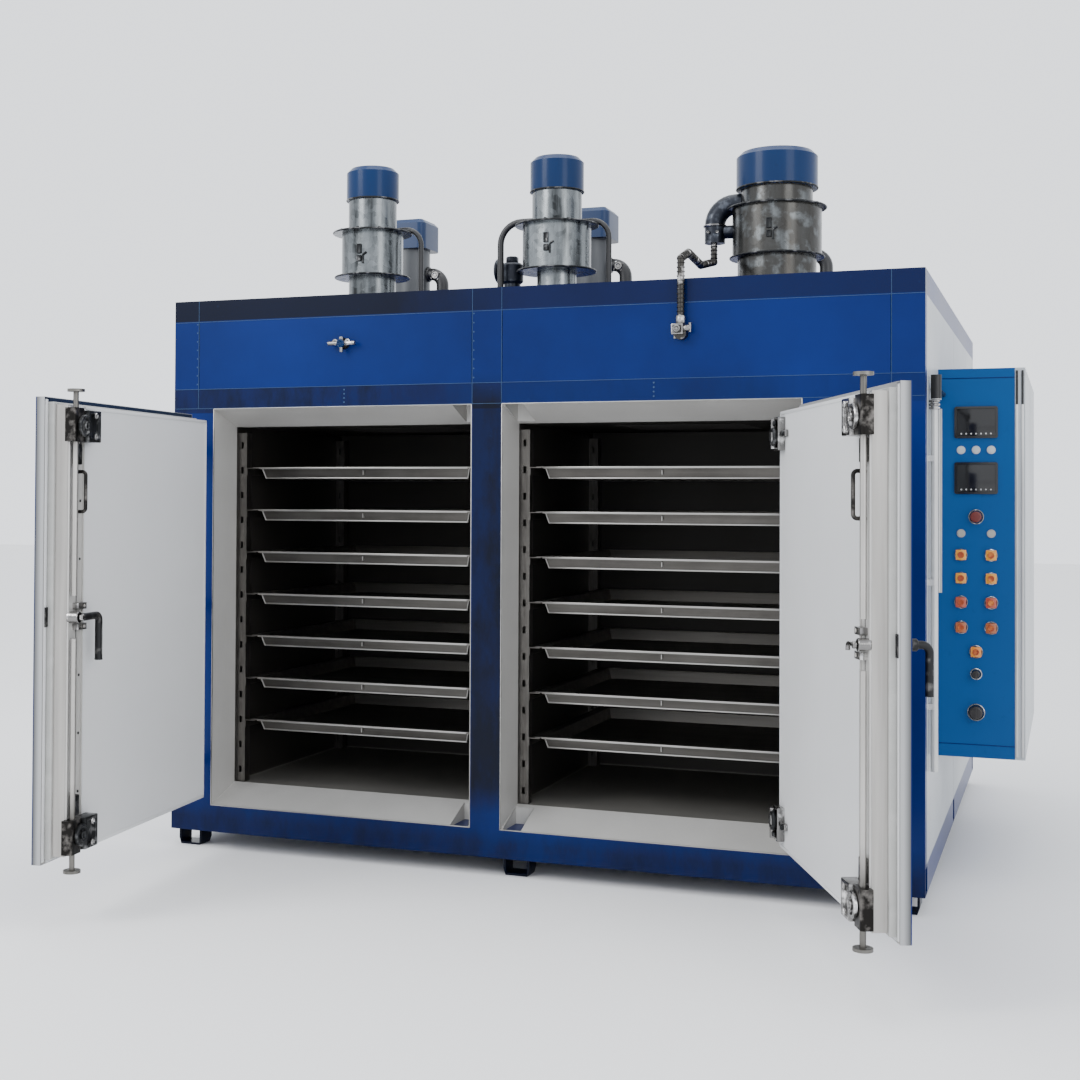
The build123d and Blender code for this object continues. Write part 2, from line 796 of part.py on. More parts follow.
def roof_hoses():
    """Elbow hoses of the blowers, and the motor cables of the front row."""
    pieces = []
    y = front + blower_setback
    for x in blower_x:
        z = roof_top + blower_outlet_level
        pieces.append(tube(((x + blower_radius, y, z), (x + blower_radius + hose_reach, y, z),
                            (x + blower_radius + hose_reach, y, roof_top)),
                           hose_radius * 3, hose_radius))
    y = front + fan_setback
    for i, reach in enumerate(cable_reach):
        start = fan_x[i] - fan_body_radius[i]
        z = roof_top + fan_drum_top[i] + cable_radius * 2
        out = fan_x[i] - fan_flange_radius[i] - reach
        pieces.append(tube(((start, y, z), (out, y, z), (out, y, roof_top)),
                           cable_radius * 4, cable_radius))
    last = roof_top + fan_drum_top[2] + cable_radius * 2
    pieces.append(along_x(cable_radius, terminal_right, fan_x[2] - fan_body_radius[2], y, last))
    return pieces


def roof_valve():
    """Valve standing on the roof beside the middle unit, with a spoked handwheel."""
    x = fan_x[1] - roof_valve_reach
    y = front + fan_setback + roof_valve_back
    foot, level = roof_top + fan_flange, roof_top + handwheel_level
    top = roof_top + roof_valve_height
    r, neck = roof_valve_radius, roof_valve_neck
    valve = turned(((0, roof_top), (r + fan_flange, roof_top), (r + fan_flange, foot), (neck, foot),
                    (neck, level - r), (r, level - r / 2), (r, level + handwheel_bar), (neck, top),
                    (0, top)), x, y)
    wheel_x = x - handwheel_reach
    rim = handwheel_radius
    valve += along_x(handwheel_bar, wheel_x - handwheel_bar, x, y, level)
    wheel = Torus(rim, handwheel_bar)
    spoke = Rot(0, 90, 0) * Cylinder(handwheel_spoke, 2 * rim)
    for turn in (45, 135):
        wheel += Rot(0, 0, turn) * spoke
    return valve + Pos(wheel_x, y, level) * Rot(0, 90, 0) * wheel


def terminal_housing():
    """Rounded terminal housing on a stub at the left of the right drum, beside its flange."""
    y = front + fan_setback
    low = roof_top + terminal_level
    plan = RectangleRounded(terminal_width, terminal_depth, terminal_round)
    body = Pos(terminal_x, y, low) * extrude(plan, terminal_height)
    body = fillet(body.edges().group_by(Axis.Z)[-1], terminal_round * 3 / 4)
    stub = along_x(terminal_stub, terminal_x, fan_x[2], y, low + terminal_stub_rise)
    drum = upright(fan_drum_radius[2] + seat_gap, fan_x[2], y, roof_top, low + terminal_height)
    return body + (stub - drum)


def roof_fittings():
    return [roof_valve(), terminal_housing()]


def fan_rotor(i):
    """Shaft with a bladed wheel in the space over the chambers."""
    x, y = fan_x[i], front + fan_setback
    top = roof_top + fan_drum_top[i]
    rotor = upright(shaft_radius, x, y, wheel_level - wheel_height, top)
    plate = upright(wheel_radius, x, y, wheel_level - wheel_plate, wheel_level)
    ring = upright(wheel_radius, x, y, wheel_level - wheel_height,
                   wheel_level - wheel_height + wheel_plate)
    ring -= upright(wheel_radius * 2 / 3, x, y, wheel_level - wheel_height - 1, wheel_level)
    ring += upright(shaft_radius * 2, x, y, wheel_level - wheel_height, wheel_level)
    wheel = rotor + plate + ring
    blade_length = wheel_radius / 3
    blade = Pos(wheel_radius - blade_length / 2, 0, wheel_level - wheel_height / 2) * Rot(0, 0, 25) \
        * Box(blade_length * 0.9, wheel_blade, wheel_height - wheel_plate)
    for k in range(wheel_blade_count):
        wheel += Pos(x, y, 0) * Rot(0, 0, 360 * k / wheel_blade_count) * blade
    return [wheel]


def control_hole(x, z, radius):
    return along_y(radius, x, control_front - 1, control_front + control_sheet + 1, z)


def button_places():
    """Two pairs of push buttons under the lamps, and a single one below them."""
    places = [(panel_middle + side * panel_column, control_low + level)
              for level in button_pair_levels for side in (-1, 1)]
    return places + [(panel_middle, control_low + button_single_level)]


def control_box():
    """Wall cabinet with its operating panel at the front end, open to its side door."""
    y0, y1 = control_front, control_rear
    outer = block(right, control_inner, y0, y1, control_low, control_high)
    inner = block(right + control_sheet, control_inner + 1, y0 + control_sheet,
                  y1 - control_sheet, control_low + control_sheet, control_high - control_sheet)
    box = outer - inner
    for x, z in button_places():
        box -= control_hole(x, z, button_radius + button_clearance)
    for x, z in (emergency_place, selector_place, main_switch_place):
        box -= control_hole(x, z, knob_stem_radius + button_clearance)
    mount = block(right + control_sheet, right + 4 * control_sheet, y0 + control_door_thickness,
                  y1 - control_door_thickness, control_low + control_door_thickness,
                  control_high - control_door_thickness)
    return [box, mount] + control_hinges()


def control_hinge_axis():
    """Upright axis of the side door, behind its rear edge."""
    return control_outer - control_hinge_radius, control_rear + control_hinge_radius


def control_hinge_levels():
    inset = 2 * control_hinge_length
    return control_low + inset, (control_low + control_high) / 2, control_high - inset


def door_side_knuckle(z0, z1):
    """Bored middle knuckle of a side door hinge, joined to the door's rear fold by a web."""
    x, y = control_hinge_axis()
    part = upright(control_hinge_radius, x, y, z0, z1)
    part += block(x + control_pin_radius + hinge_clearance, x + control_hinge_radius,
                  control_rear - control_sheet, y, z0, z1)
    return part - upright(control_pin_radius + hinge_clearance, x, y, z0 - 1, z1 + 1)


def box_side_knuckle(z0, z1):
    """Outer knuckle of a side door hinge on a strap laid on the cabinet's rear face."""
    x, y = control_hinge_axis()
    strap = block(control_inner - control_strap_reach, x, control_rear,
                  control_rear + control_strap, z0, z1)
    return upright(control_hinge_radius, x, y, z0, z1) + strap


def control_hinges():
    """Straps, outer knuckles and pins of the side door's hinges, on the cabinet."""
    x, y = control_hinge_axis()
    half = control_hinge_length / 2
    pieces = []
    for z in control_hinge_levels():
        part = upright(control_pin_radius, x, y, z - half, z + half)
        for z0, z1 in ((z - half, z - half / 3 - hinge_axial_gap),
                       (z + half / 3 + hinge_axial_gap, z + half)):
            part += box_side_knuckle(z0, z1)
        pieces.append(part)
    return pieces


def control_door():
    """Side door pan with the middle knuckles of its hinges, clear of the straps behind it."""
    x0 = control_outer - control_door_thickness
    y0, y1 = control_front, control_rear - control_door_gap
    outer = block(x0, control_outer, y0, y1, control_low, control_high)
    inner = block(x0 - 1, control_outer - control_sheet, y0 + control_sheet, y1 - control_sheet,
                  control_low + control_sheet, control_high - control_sheet)
    door = outer - inner
    half = control_hinge_length / 6
    for z in control_hinge_levels():
        door += door_side_knuckle(z - half, z + half)
    return [door]


def displays():
    """Two recessed screens in bezels."""
    pieces = []
    for level in display_levels:
        z = control_low + level
        frame = block(panel_middle - display_width / 2, panel_middle + display_width / 2,
                      control_front - display_depth, control_front,
                      z - display_height / 2, z + display_height / 2)
        frame = fillet(frame.edges().filter_by(Axis.Y), display_depth)
        screen = block(panel_middle - display_width / 2 + display_depth,
                       panel_middle + display_width / 2 - display_depth,
                       control_front - display_depth - 1, control_front - display_depth / 2,
                       z - display_height / 2 + display_depth,
                       z + display_height / 2 - display_depth)
        pieces.append(frame - screen)
    return pieces


def lamp_places():
    """Small lamps: a row of three under the upper display, and three pairs over the buttons."""
    places = [(panel_middle + k * panel_column, control_low + lamp_row_level) for k in (-1, 0, 1)]
    for level in lamp_pair_levels:
        places += [(panel_middle + side * panel_column, control_low + level) for side in (-1, 1)]
    return places


def indicator_lamps():
    pieces = []
    for x, z in lamp_places():
        bezel = along_y(button_collar, x, control_front - display_depth / 2, control_front, z)
        lens = along_y(button_radius, x, control_front - display_depth, control_front, z)
        pieces.append(bezel + lens)
    return pieces


def push_button(place):
    """Plunger and cap; the cap stands proud by more than its travel."""
    x, z = place
    cap = along_y(button_collar, x, control_front - button_proud,
                  control_front - button_travel - 1, z)
    stem = along_y(button_radius, x, control_front - button_travel - 1,
                   control_front - button_proud + button_length, z)
    cap = chamfer(cap.edges().group_by(Axis.Y)[0], button_chamfer)
    return [cap + stem]


def panel_knob(place, radius, mushroom):
    """A knob on a stem through the panel: a mushroom head or a grip with a pointer bar."""
    x, z = place
    gap = button_travel + 1
    face = control_front - gap if mushroom else control_front - button_clearance
    stem = along_y(knob_stem_radius, x, control_front - knob_height,
                   control_front + button_length, z)
    head = along_y(radius, x, control_front - knob_height - gap, face, z)
    head = fillet(head.edges().group_by(Axis.Y)[0], radius / 4)
    if not mushroom:
        half, reach = knob_pointer_width / 2, radius - knob_pointer_margin
        head += block(x - half, x + half, control_front - knob_height - 2 * gap,
                      control_front - knob_height, z - reach, z + reach)
    return [head + stem]


def cable_pipe():
    """Pipe up the right wall with clips, a gland and a bend into the control cabinet."""
    x = right + pipe_stand + pipe_radius
    y = front + pipe_setback
    pipe = upright(pipe_radius, x, y, pipe_low, pipe_high)
    gland = upright(gland_radius, x + gland_radius - pipe_radius, y, pipe_high,
                    pipe_high + gland_height)
    pieces = [pipe, gland]
    span = pipe_high - pipe_low
    for i in range(clip_count):
        z = pipe_low + span * (i + 0.5) / clip_count
        clip = block(right, x, y - pipe_radius - pipe_stand, y + pipe_radius + pipe_stand,
                     z, z + clip_height)
        pieces.append(clip - pipe)
    lead_z = pipe_high + gland_height / 2
    pieces.append(along_y(cable_radius, x, y + gland_radius, control_front, lead_z)
                  - gland)
    return pieces


def front_fittings():
    """Conduit from the terminal housing over the roof edge to its valve, and the wing's seat."""
    y = front
    conduit_y = front - conduit_off
    start_y = front + fan_setback
    start = roof_top + terminal_level
    level = roof_top + conduit_rise
    points = ((terminal_x, start_y, start), (terminal_x, start_y, start - conduit_drop),
              (terminal_x, start_y - conduit_span, level),
              (valve_x, start_y - conduit_span - conduit_middle, level - conduit_sag),
              (valve_x, front + conduit_set_in, level),
              (valve_x, conduit_y, roof_top + conduit_shoulder),
              (valve_x, conduit_y, valve_level))
    pieces = [tube(points, conduit_radius * 3, conduit_radius)]
    pieces.append(along_y(fitting_radius, valve_x, y - fitting_depth, y,
                          valve_level - fitting_radius))
    pieces.append(along_y(fitting_radius, wing_x, y - fitting_depth / 2, y, wing_level))
    return pieces


def wing_handle():
    """Two-winged handle that turns on its seat."""
    y1 = front - fitting_depth / 2 - hinge_axial_gap
    hub = along_y(fitting_radius * 2 / 3, wing_x, y1 - fitting_depth / 2, y1, wing_level)
    wings = along_x(wing_radius, wing_x - wing_span, wing_x + wing_span,
                    y1 - fitting_depth / 4, wing_level)
    return [hub + wings]


save("base_frame", base_frame())
save("front_frame", front_frame())
save("upper_panels", upper_panels())
save("roof_pan", roof_pan())
save("side_panel_left", side_panels(-1))
save("side_panel_right", side_panels(1))
save("back_panel", back_panel())
save("throat_trims", throat_trims())
save("chamber_liners", chamber_liners())
save("tray_racks", tray_racks())
for chamber, chamber_name in enumerate(("left", "right")):
    for tray_index in range(tray_count):
        save(f"{chamber_name}_tray_{tray_index + 1}", tray(chamber, tray_index))
save("hinge_pins", hinge_pins())
for door_name, door_side in (("left", -1), ("right", 1)):
    save(f"{door_name}_door_skin", door_skin(door_side))
    save(f"{door_name}_door_panel", door_panel(door_side))
    save(f"{door_name}_door_seal", door_seal(door_side))
    save(f"{door_name}_upper_rod", lock_rod(door_side, 1))
    save(f"{door_name}_lower_rod", lock_rod(door_side, -1))
    save(f"{door_name}_lever", lever(door_side))
save("fan_units", fan_units())
save("motor_cowls", motor_cowls())
save("rear_blowers", rear_blowers())
save("roof_hoses", roof_hoses())
save("roof_fittings", roof_fittings())
for rotor_index, rotor_name in enumerate(("left", "middle", "right")):
    save(f"{rotor_name}_fan_rotor", fan_rotor(rotor_index))
save("control_box", control_box())
save("control_door", control_door())
save("displays", displays())
save("indicator_lamps", indicator_lamps())
for button_index, button_place in enumerate(button_places()):
    save(f"push_button_{button_index + 1}", push_button(button_place))
save("emergency_button", panel_knob(emergency_place, emergency_radius, True))
save("selector_knob", panel_knob(selector_place, selector_radius, False))
save("main_switch", panel_knob(main_switch_place, main_switch_radius, False))
save("cable_pipe", cable_pipe())
save("front_fittings", front_fittings())
save("wing_handle", wing_handle())
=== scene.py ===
import bpy
import json
import math
from mathutils import Matrix, Vector


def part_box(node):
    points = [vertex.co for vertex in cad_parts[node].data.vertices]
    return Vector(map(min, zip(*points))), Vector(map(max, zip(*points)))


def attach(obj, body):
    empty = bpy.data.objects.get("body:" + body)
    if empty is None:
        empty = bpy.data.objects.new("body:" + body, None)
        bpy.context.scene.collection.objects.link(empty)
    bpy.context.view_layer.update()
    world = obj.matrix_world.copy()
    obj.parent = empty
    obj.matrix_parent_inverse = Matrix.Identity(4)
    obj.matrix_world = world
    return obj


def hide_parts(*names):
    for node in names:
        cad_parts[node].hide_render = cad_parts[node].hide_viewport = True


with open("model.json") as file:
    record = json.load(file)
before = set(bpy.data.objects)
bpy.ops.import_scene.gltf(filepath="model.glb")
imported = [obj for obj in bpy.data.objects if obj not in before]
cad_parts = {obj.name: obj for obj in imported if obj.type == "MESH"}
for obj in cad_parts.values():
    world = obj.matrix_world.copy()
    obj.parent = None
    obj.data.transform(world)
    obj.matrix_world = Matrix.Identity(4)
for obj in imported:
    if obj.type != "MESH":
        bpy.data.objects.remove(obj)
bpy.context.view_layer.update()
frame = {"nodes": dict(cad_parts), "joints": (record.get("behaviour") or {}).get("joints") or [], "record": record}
nodes = frame["nodes"]
joints = {joint["name"]: joint for joint in frame["joints"]}

# Camera at the photograph's place and angle, in metres and degrees
camera_place = Vector((1.9045, -6.6678, 1.3841))
camera_yaw, camera_pitch, camera_roll = 21.0, 0.91, 0.29
camera_lens = 51.54
camera_shift = (0.0573, -0.0611)

# Levels and widths of the cabinet's front, read from the frame
front_low, front_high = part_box("front_frame")
roof_low, roof_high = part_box("roof_pan")
panels_low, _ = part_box("upper_panels")
face_y = front_low.y
fascia_z = roof_low.z
lintel_z = panels_low.z
throat_low, throat_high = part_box("throat_trims")
opening_z0, opening_z1 = throat_low.z, throat_high.z
fixed_body = "cabinet"

# Places along the front
cabinet_right, panel_right = 1.450, 1.7147
opening_left = (-1.272, -0.056)
opening_width = 1.100
post_x = (-0.172, -0.056)
seam_inset = 0.110
lintel_rivets_x = (-0.698, 0.520)

# Trays: the middle of each column, the lowest rim, the pitch and the depth
tray_x = {"left": -0.722, "right": 0.494}
tray_count, tray_rim, tray_pitch, tray_depth = 7, 0.486, 0.170, 0.045

# Rear blowers: their middles, and the outlets' height over the roof
blower_x, blower_y = (-1.180, -0.240, 0.700), 0.425
blower_outlet = 0.335

# Front drums' middles, then fan joint, radius, flange radius and levels, cowl radius, skirt level
left_fan_x, middle_fan_x, right_fan_x = -0.875, -0.050, 0.843
drums = (("left_fan_spin", 0.130, 0.166, 0.347, 0.151, 0.111, 0.480),
         ("middle_fan_spin", 0.139, 0.168, 0.334, 0.140, 0.109, 0.464),
         ("right_fan_spin", 0.170, 0.187, 0.348, 0.150, 0.155, 0.417))

# Directions that pieces look along, in cabinet or door coordinates
to_front, to_back, upward = (0, -1, 0), (0, 1, 0), (0, 0, 1)

# The cabinet's two blues
sheet_blue, lively_blue = (0.0, 0.0085, 0.078), (0.0, 0.0145, 0.120)

# Door sizes in the door's own coordinates: x from the hinge side, y into the cabinet
door_thick = 0.100
flange_depth = 0.032
plug_x = (0.020, 1.064)
plug_z = (0.222, 1.682)
rod_x = 1.050
lever_z = 0.994
strip_x = (0.966, 1.062)
hinge_side = {"left": 0.090, "right": 0.030}


class Value:
    """A shader socket that takes part in arithmetic; each operation adds a Math node."""

    def __init__(self, finish, socket):
        self.finish = finish
        self.socket = socket

    def math(self, operation, *values):
        return self.finish.node("ShaderNodeMath", {"operation": operation}, dict(enumerate(values)))

    def __add__(self, other):
        return self.math("ADD", self, other)

    def __radd__(self, other):
        return self.math("ADD", other, self)

    def __sub__(self, other):
        return self.math("SUBTRACT", self, other)

    def __rsub__(self, other):
        return self.math("SUBTRACT", other, self)

    def __mul__(self, other):
        return self.math("MULTIPLY", self, other)

    def __rmul__(self, other):
        return self.math("MULTIPLY", other, self)

    def __truediv__(self, other):
        return self.math("DIVIDE", self, other)

    def held(self):
        """The value held between 0 and 1."""
        return self.math("MINIMUM", self.math("MAXIMUM", self, 0.0), 1.0)

    def rise(self, start, width):
        """0 below start, 1 past start + width."""
        return ((self - start) / width).held()

    def band(self, low, high, soft):
        return self.rise(low, soft) * (1.0 - self.rise(high, soft))


class Finish:
    """One material: its nodes, and the shader that they feed."""

    def __init__(self, name, **fixed):
        self.data = bpy.data.materials.new(name)
        self.data.use_nodes = True
        self.tree = self.data.node_tree
        self.shader = self.tree.nodes["Principled BSDF"]
        for key, value in fixed.items():
            self.shader.inputs[self.input_name(key)].default_value = value
        self.place = self.node("ShaderNodeTexCoord", {}, {}, "Object")
        self.x, self.y, self.z = (self.node("ShaderNodeSeparateXYZ", {}, {0: self.place}, i)
                                  for i in range(3))

    @staticmethod
    def input_name(key):
        return "Specular IOR Level" if key == "specular" else key.replace("_", " ").title()

    def node(self, kind, settings, values, output=0):
        """Adds a node with its settings first, then the values or links of its sockets."""
        made = self.tree.nodes.new(kind)
        for key, value in settings.items():
            setattr(made, key, value)
        for key, value in values.items():
            if isinstance(value, Value):
                self.tree.links.new(value.socket, made.inputs[key])
            else:
                made.inputs[key].default_value = value
        return Value(self, made.outputs[output])

    def noise(self, scale, stretch=(1, 1, 1), detail=4.0, rough=0.55):
        spot = self.node("ShaderNodeMapping", {}, {"Vector": self.place, "Scale": stretch})
        return self.node("ShaderNodeTexNoise", {},
                         {"Vector": spot, "Scale": scale, "Detail": detail, "Roughness": rough})

    def mix(self, amount, first, second):
        colours = [c if isinstance(c, Value) else (*c, 1.0) for c in (first, second)]
        return self.node("ShaderNodeMix", {"data_type": "RGBA"},
                         {0: amount, 6: colours[0], 7: colours[1]}, 2)

    def feed(self, **values):
        for key, value in values.items():
            self.tree.links.new(value.socket, self.shader.inputs[self.input_name(key)])

    def bump(self, height, strength, distance):
        self.feed(normal=self.node("ShaderNodeBump", {}, {
            "Height": height, "Strength": strength, "Distance": distance}))


def paint(name, base, deep, rough, coat):
    """Sprayed paint with orange peel, slow clouding and a few rubbed spots."""
    finish = Finish(name, coat_weight=coat, coat_roughness=0.12, specular=0.14)
    cloud = finish.noise(1.6)
    colour = finish.mix(cloud.rise(0.35, 0.4) * 0.55, base, deep)
    grime = finish.noise(38.0, detail=8.0).rise(0.62, 0.12)
    colour = finish.mix(grime * 0.18, colour, tuple(0.5 * v for v in deep))
    finish.feed(base_color=colour, roughness=rough + 0.12 * cloud + 0.10 * grime)
    finish.bump(finish.noise(320.0, detail=1.0), 0.10, 0.0004)
    return finish


def cabinet_paint():
    """The cabinet's blue, with painted reflections darkening the fascia, lintels, centre post and lower front, and
    darker paint on the feet.
    """
    finish = Finish("cabinet blue paint", coat_weight=0.05, coat_roughness=0.12, specular=0.12)
    navy_reflection_and_feet = (0.0, 0.0010, 0.004)
    cloud = finish.noise(1.3, detail=6.0)
    blotch = finish.noise(9.0, stretch=(1, 1, 0.35), detail=10.0, rough=0.74)
    colour = finish.mix(cloud.rise(0.36, 0.3), sheet_blue, lively_blue)
    # Painted reflections: on the front, the fascia, lintel, centre post and lowest band are darkened towards
    # near-black blue, more on the left, in mottled patches.
    on_front = 1.0 - finish.y.rise(face_y + 0.05, 0.04)
    left_part = 1.0 - (finish.x + 0.5 * blotch).rise(-0.25, 0.5)
    fascia = finish.z.rise(fascia_z + 0.001, 0.004) * (0.60 + 0.36 * left_part)
    lintel = finish.z.band(opening_z1 - 0.02, lintel_z - 0.002, 0.003)
    lintel = lintel * (0.30 + 0.60 * left_part) * (0.55 + 0.45 * blotch.rise(0.40, 0.25))
    post = finish.x.band(post_x[0], post_x[1] - 0.001, 0.004) * finish.z.band(0.168, opening_z1 - 0.03, 0.15)
    post = post * (0.74 + 0.24 * (blotch - 0.10 * finish.z).rise(0.30, 0.20))
    lower_front_reflection = (1.0 - finish.z.rise(0.12, 0.10)) * (0.45 + 0.3 * blotch.rise(0.40, 0.2))
    dark = on_front * (fascia + lintel + post + lower_front_reflection).held()
    # The feet, below 58 mm, are darker paint on every side.
    dark = (dark + 1.0 - finish.z.rise(0.058, 0.004)).held()
    colour = finish.mix(dark * 0.95, colour, navy_reflection_and_feet)
    scuff = finish.noise(46.0, detail=9.0).rise(0.66, 0.08)
    colour = finish.mix(scuff * 0.10, colour, (0.01, 0.05, 0.17))
    finish.feed(base_color=colour, roughness=0.26 + 0.10 * cloud + 0.12 * scuff)
    finish.bump(finish.noise(260.0, detail=1.0), 0.12, 0.0005)
    return finish


def door_place(side):
    """From door coordinates to the open door, as it stands at rest."""
    joint = joints[f"{side}_door_swing"]
    axis = Vector(joint["pos_m"])
    way = 1 if side == "left" else -1
    closed = Vector((axis.x + way * hinge_side[side], face_y, 0))
    opened = -way * abs(math.radians(joint["range_deg"][0]))
    return Matrix.Translation((axis.x, axis.y, 0)) @ Matrix.Rotation(opened, 4, "Z") \
        @ Matrix.Translation((-axis.x, -axis.y, 0)) @ Matrix.Translation(closed) \
        @ Matrix.Diagonal((way, 1, 1, 1))


def door_axes(finish, side):
    """A surface point's own x and y in door coordinates."""
    back = door_place(side).inverted()
    along, inward = back[0], back[1]
    return (finish.x * along[0] + finish.y * along[1] + along[3],
            finish.x * inward[0] + finish.y * inward[1] + inward[3])


def skin_paint(side):
    """Door skin: blue outside, brushed grey on the folded edges."""
    finish = Finish(f"{side} door skin", specular=0.12)
    _, inward = door_axes(finish, side)
    cloud = finish.noise(1.5, detail=6.0)
    blue = finish.mix(cloud.rise(0.36, 0.3), sheet_blue, lively_blue)
    fold = finish.mix(inward.rise(0.003, 0.020), (0.05, 0.052, 0.055), (0.42, 0.425, 0.43))
    streaks = finish.noise(30.0, stretch=(1, 1, 0.05), detail=5.0)
    fold = finish.mix(streaks * 0.5, fold, (0.20, 0.205, 0.21))
    edge = inward.rise(0.0026, 0.0006)
    finish.feed(base_color=finish.mix(edge, blue, fold), metallic=edge * 0.5,
                roughness=0.28 + 0.12 * cloud + 0.08 * edge)
    finish.bump(finish.noise(260.0, detail=1.0), 0.10, 0.0004)
    return finish


def inner_panel(side):
    """Inner pan: white face, stainless end face, dark castings and pull, ledge strip at the top."""
    finish = Finish(f"{side} inner pan", specular=0.35)
    along, inward = door_axes(finish, side)
    cloud = finish.noise(1.2, detail=6.0)
    streaks = finish.noise(40.0, stretch=(1, 1, 0.04), detail=4.0)
    white = finish.mix(cloud, (0.54, 0.545, 0.55), (0.67, 0.675, 0.68))
    steel = finish.mix(streaks, (0.22, 0.21, 0.195), (0.52, 0.50, 0.475))
    metal = finish.mix(finish.noise(30.0, detail=8.0).rise(0.5, 0.18),
                       (0.016, 0.015, 0.014), (0.15, 0.14, 0.13))
    end_face = along.rise(plug_x[1] - 0.0012, 0.0006)
    proud = inward.rise(door_thick + 0.0006, 0.0006)
    ledge = finish.z.rise(plug_z[1] + 0.009, 0.0006) * (1.0 - inward.rise(flange_depth + 0.002, 0.001))
    strip = (0.004, 0.012, 0.035) if side == "left" else (0.30, 0.30, 0.30)
    colour = finish.mix(end_face, white, steel)
    colour = finish.mix(ledge, colour, strip)
    colour = finish.mix(proud, colour, metal)
    finish.feed(base_color=colour, metallic=(0.75 * end_face + 0.8 * proud).held(),
                roughness=0.30 + 0.14 * cloud + 0.06 * streaks)
    finish.bump(finish.noise(300.0, detail=2.0), 0.08, 0.0003)
    return finish


def rod_steel():
    """Lock rods: pale in their channel, dark where they pass the castings and at the heads."""
    finish = Finish("lock rod steel", metallic=1.0)
    streaks = finish.noise(30.0, stretch=(1, 1, 0.08), detail=6.0)
    ends = 1.0 - finish.z.band(0.36, 1.50, 0.10)
    pale = finish.mix(streaks, (0.30, 0.29, 0.27), (0.62, 0.60, 0.57))
    dark = finish.mix(streaks, (0.03, 0.028, 0.026), (0.26, 0.25, 0.23))
    finish.feed(base_color=finish.mix(ends, pale, dark), roughness=0.34 + 0.15 * streaks)
    return finish


def two_tone(name, split, soft, low, high, low_metal, high_metal, rough):
    """A surface that changes colour at a level, as a unit with a painted cover or a sleeve."""
    finish = Finish(name, specular=0.35)
    cloud = finish.noise(3.0, detail=6.0)
    above = finish.z.rise(split, soft)
    lower = finish.mix(cloud, low, tuple(0.45 * v for v in low))
    upper = finish.mix(cloud, high, tuple(0.6 * v for v in high))
    finish.feed(base_color=finish.mix(above, lower, upper),
                metallic=low_metal + (high_metal - low_metal) * above, roughness=rough + 0.12 * cloud)
    return finish


def tray_finish():
    """Pressed tray steel: darker, mottled front wall, brighter inside."""
    finish = Finish("pressed tray steel", metallic=1.0)
    streaks = finish.noise(26.0, stretch=(0.06, 1, 1.6), detail=5.0)
    mottle = finish.noise(6.0, stretch=(0.5, 1, 1), detail=7.0, rough=0.65)
    wall = finish.y.band(-1.0995, -1.083, 0.0015)
    bright = finish.mix(streaks, (0.20, 0.19, 0.18), (0.44, 0.425, 0.40))
    dull = finish.mix((0.5 * streaks + 0.8 * mottle - 0.25).held(), (0.022, 0.020, 0.018),
                      (0.16, 0.152, 0.14))
    finish.feed(base_color=finish.mix(wall, bright, dull), roughness=0.24 + 0.18 * mottle)
    return finish


def brushed(name, base, deep, rough, grain, direction, metal=1.0):
    """Brushed sheet: long fine scratches along one way, with slow smears."""
    finish = Finish(name, metallic=metal)
    scratches = finish.noise(grain, stretch=direction, detail=3.0)
    mottle = finish.noise(4.5, detail=6.0)
    colour = finish.mix((0.55 * scratches + 0.6 * mottle - 0.1).held(), deep, base)
    finish.feed(base_color=colour, roughness=rough + 0.16 * mottle + 0.08 * scratches)
    finish.bump(scratches, 0.08, 0.0003)
    return finish


def spangled(name, base, deep, rough):
    """Galvanised sheet: crystal patches a few centimetres across, with painted reflections as slow dark and bright
    vertical streaks; the right unit is darker.
    """
    finish = Finish(name, metallic=1.0)
    crystals = finish.node("ShaderNodeTexVoronoi", {}, {"Vector": finish.place, "Scale": 42.0}, "Color")
    tone = finish.node("ShaderNodeSeparateXYZ", {}, {0: crystals})
    # Painted reflections: slow vertical streaks set the metal's colour between near-black and bright.
    mottle = finish.noise(13.0, stretch=(1, 1, 0.12), detail=8.0, rough=0.65)
    reflection_streaks = mottle.rise(0.34, 0.30)
    colour = finish.mix((0.20 * tone + 0.85 * reflection_streaks).held(), deep, base)
    # The unit past x = 0.6 m is made darker, in patches.
    right_unit_darker = finish.x.rise(0.6, 0.05) * (0.86 - 0.5 * finish.noise(16.0, detail=7.0).rise(0.5, 0.12))
    colour = finish.mix(right_unit_darker, colour, (0.035, 0.032, 0.028))
    finish.feed(base_color=colour, roughness=rough + 0.10 * tone + 0.12 * mottle)
    return finish


def cast(name, base, worn, rough, metal):
    """Cast or forged metal: dark skin, bright where it is handled."""
    finish = Finish(name, metallic=metal)
    grain = finish.noise(160.0, detail=5.0)
    wear = finish.noise(28.0, detail=7.0).rise(0.52, 0.16)
    finish.feed(base_color=finish.mix(wear, base, worn), roughness=rough - 0.12 * wear + 0.1 * grain)
    finish.bump(grain, 0.25, 0.0006)
    return finish


def moulded(name, base, rough, ribs=0.0):
    """Moulded plastic or rubber with a fine grain, ribbed across if it is a hose."""
    finish = Finish(name)
    grain = finish.noise(220.0, detail=4.0)
    dust = finish.noise(12.0, detail=6.0).rise(0.5, 0.3)
    pale = tuple(min(1.0, v * 1.5 + 0.012) for v in base)
    finish.feed(base_color=finish.mix(dust * 0.5, base, pale), roughness=rough + 0.12 * dust)
    height = grain
    if ribs:
        along = finish.x + finish.z
        height = 0.2 * grain + 0.5 * along.math("SINE", along * ribs)
    finish.bump(height, 0.3, 0.0012 if ribs else 0.0003)
    return finish


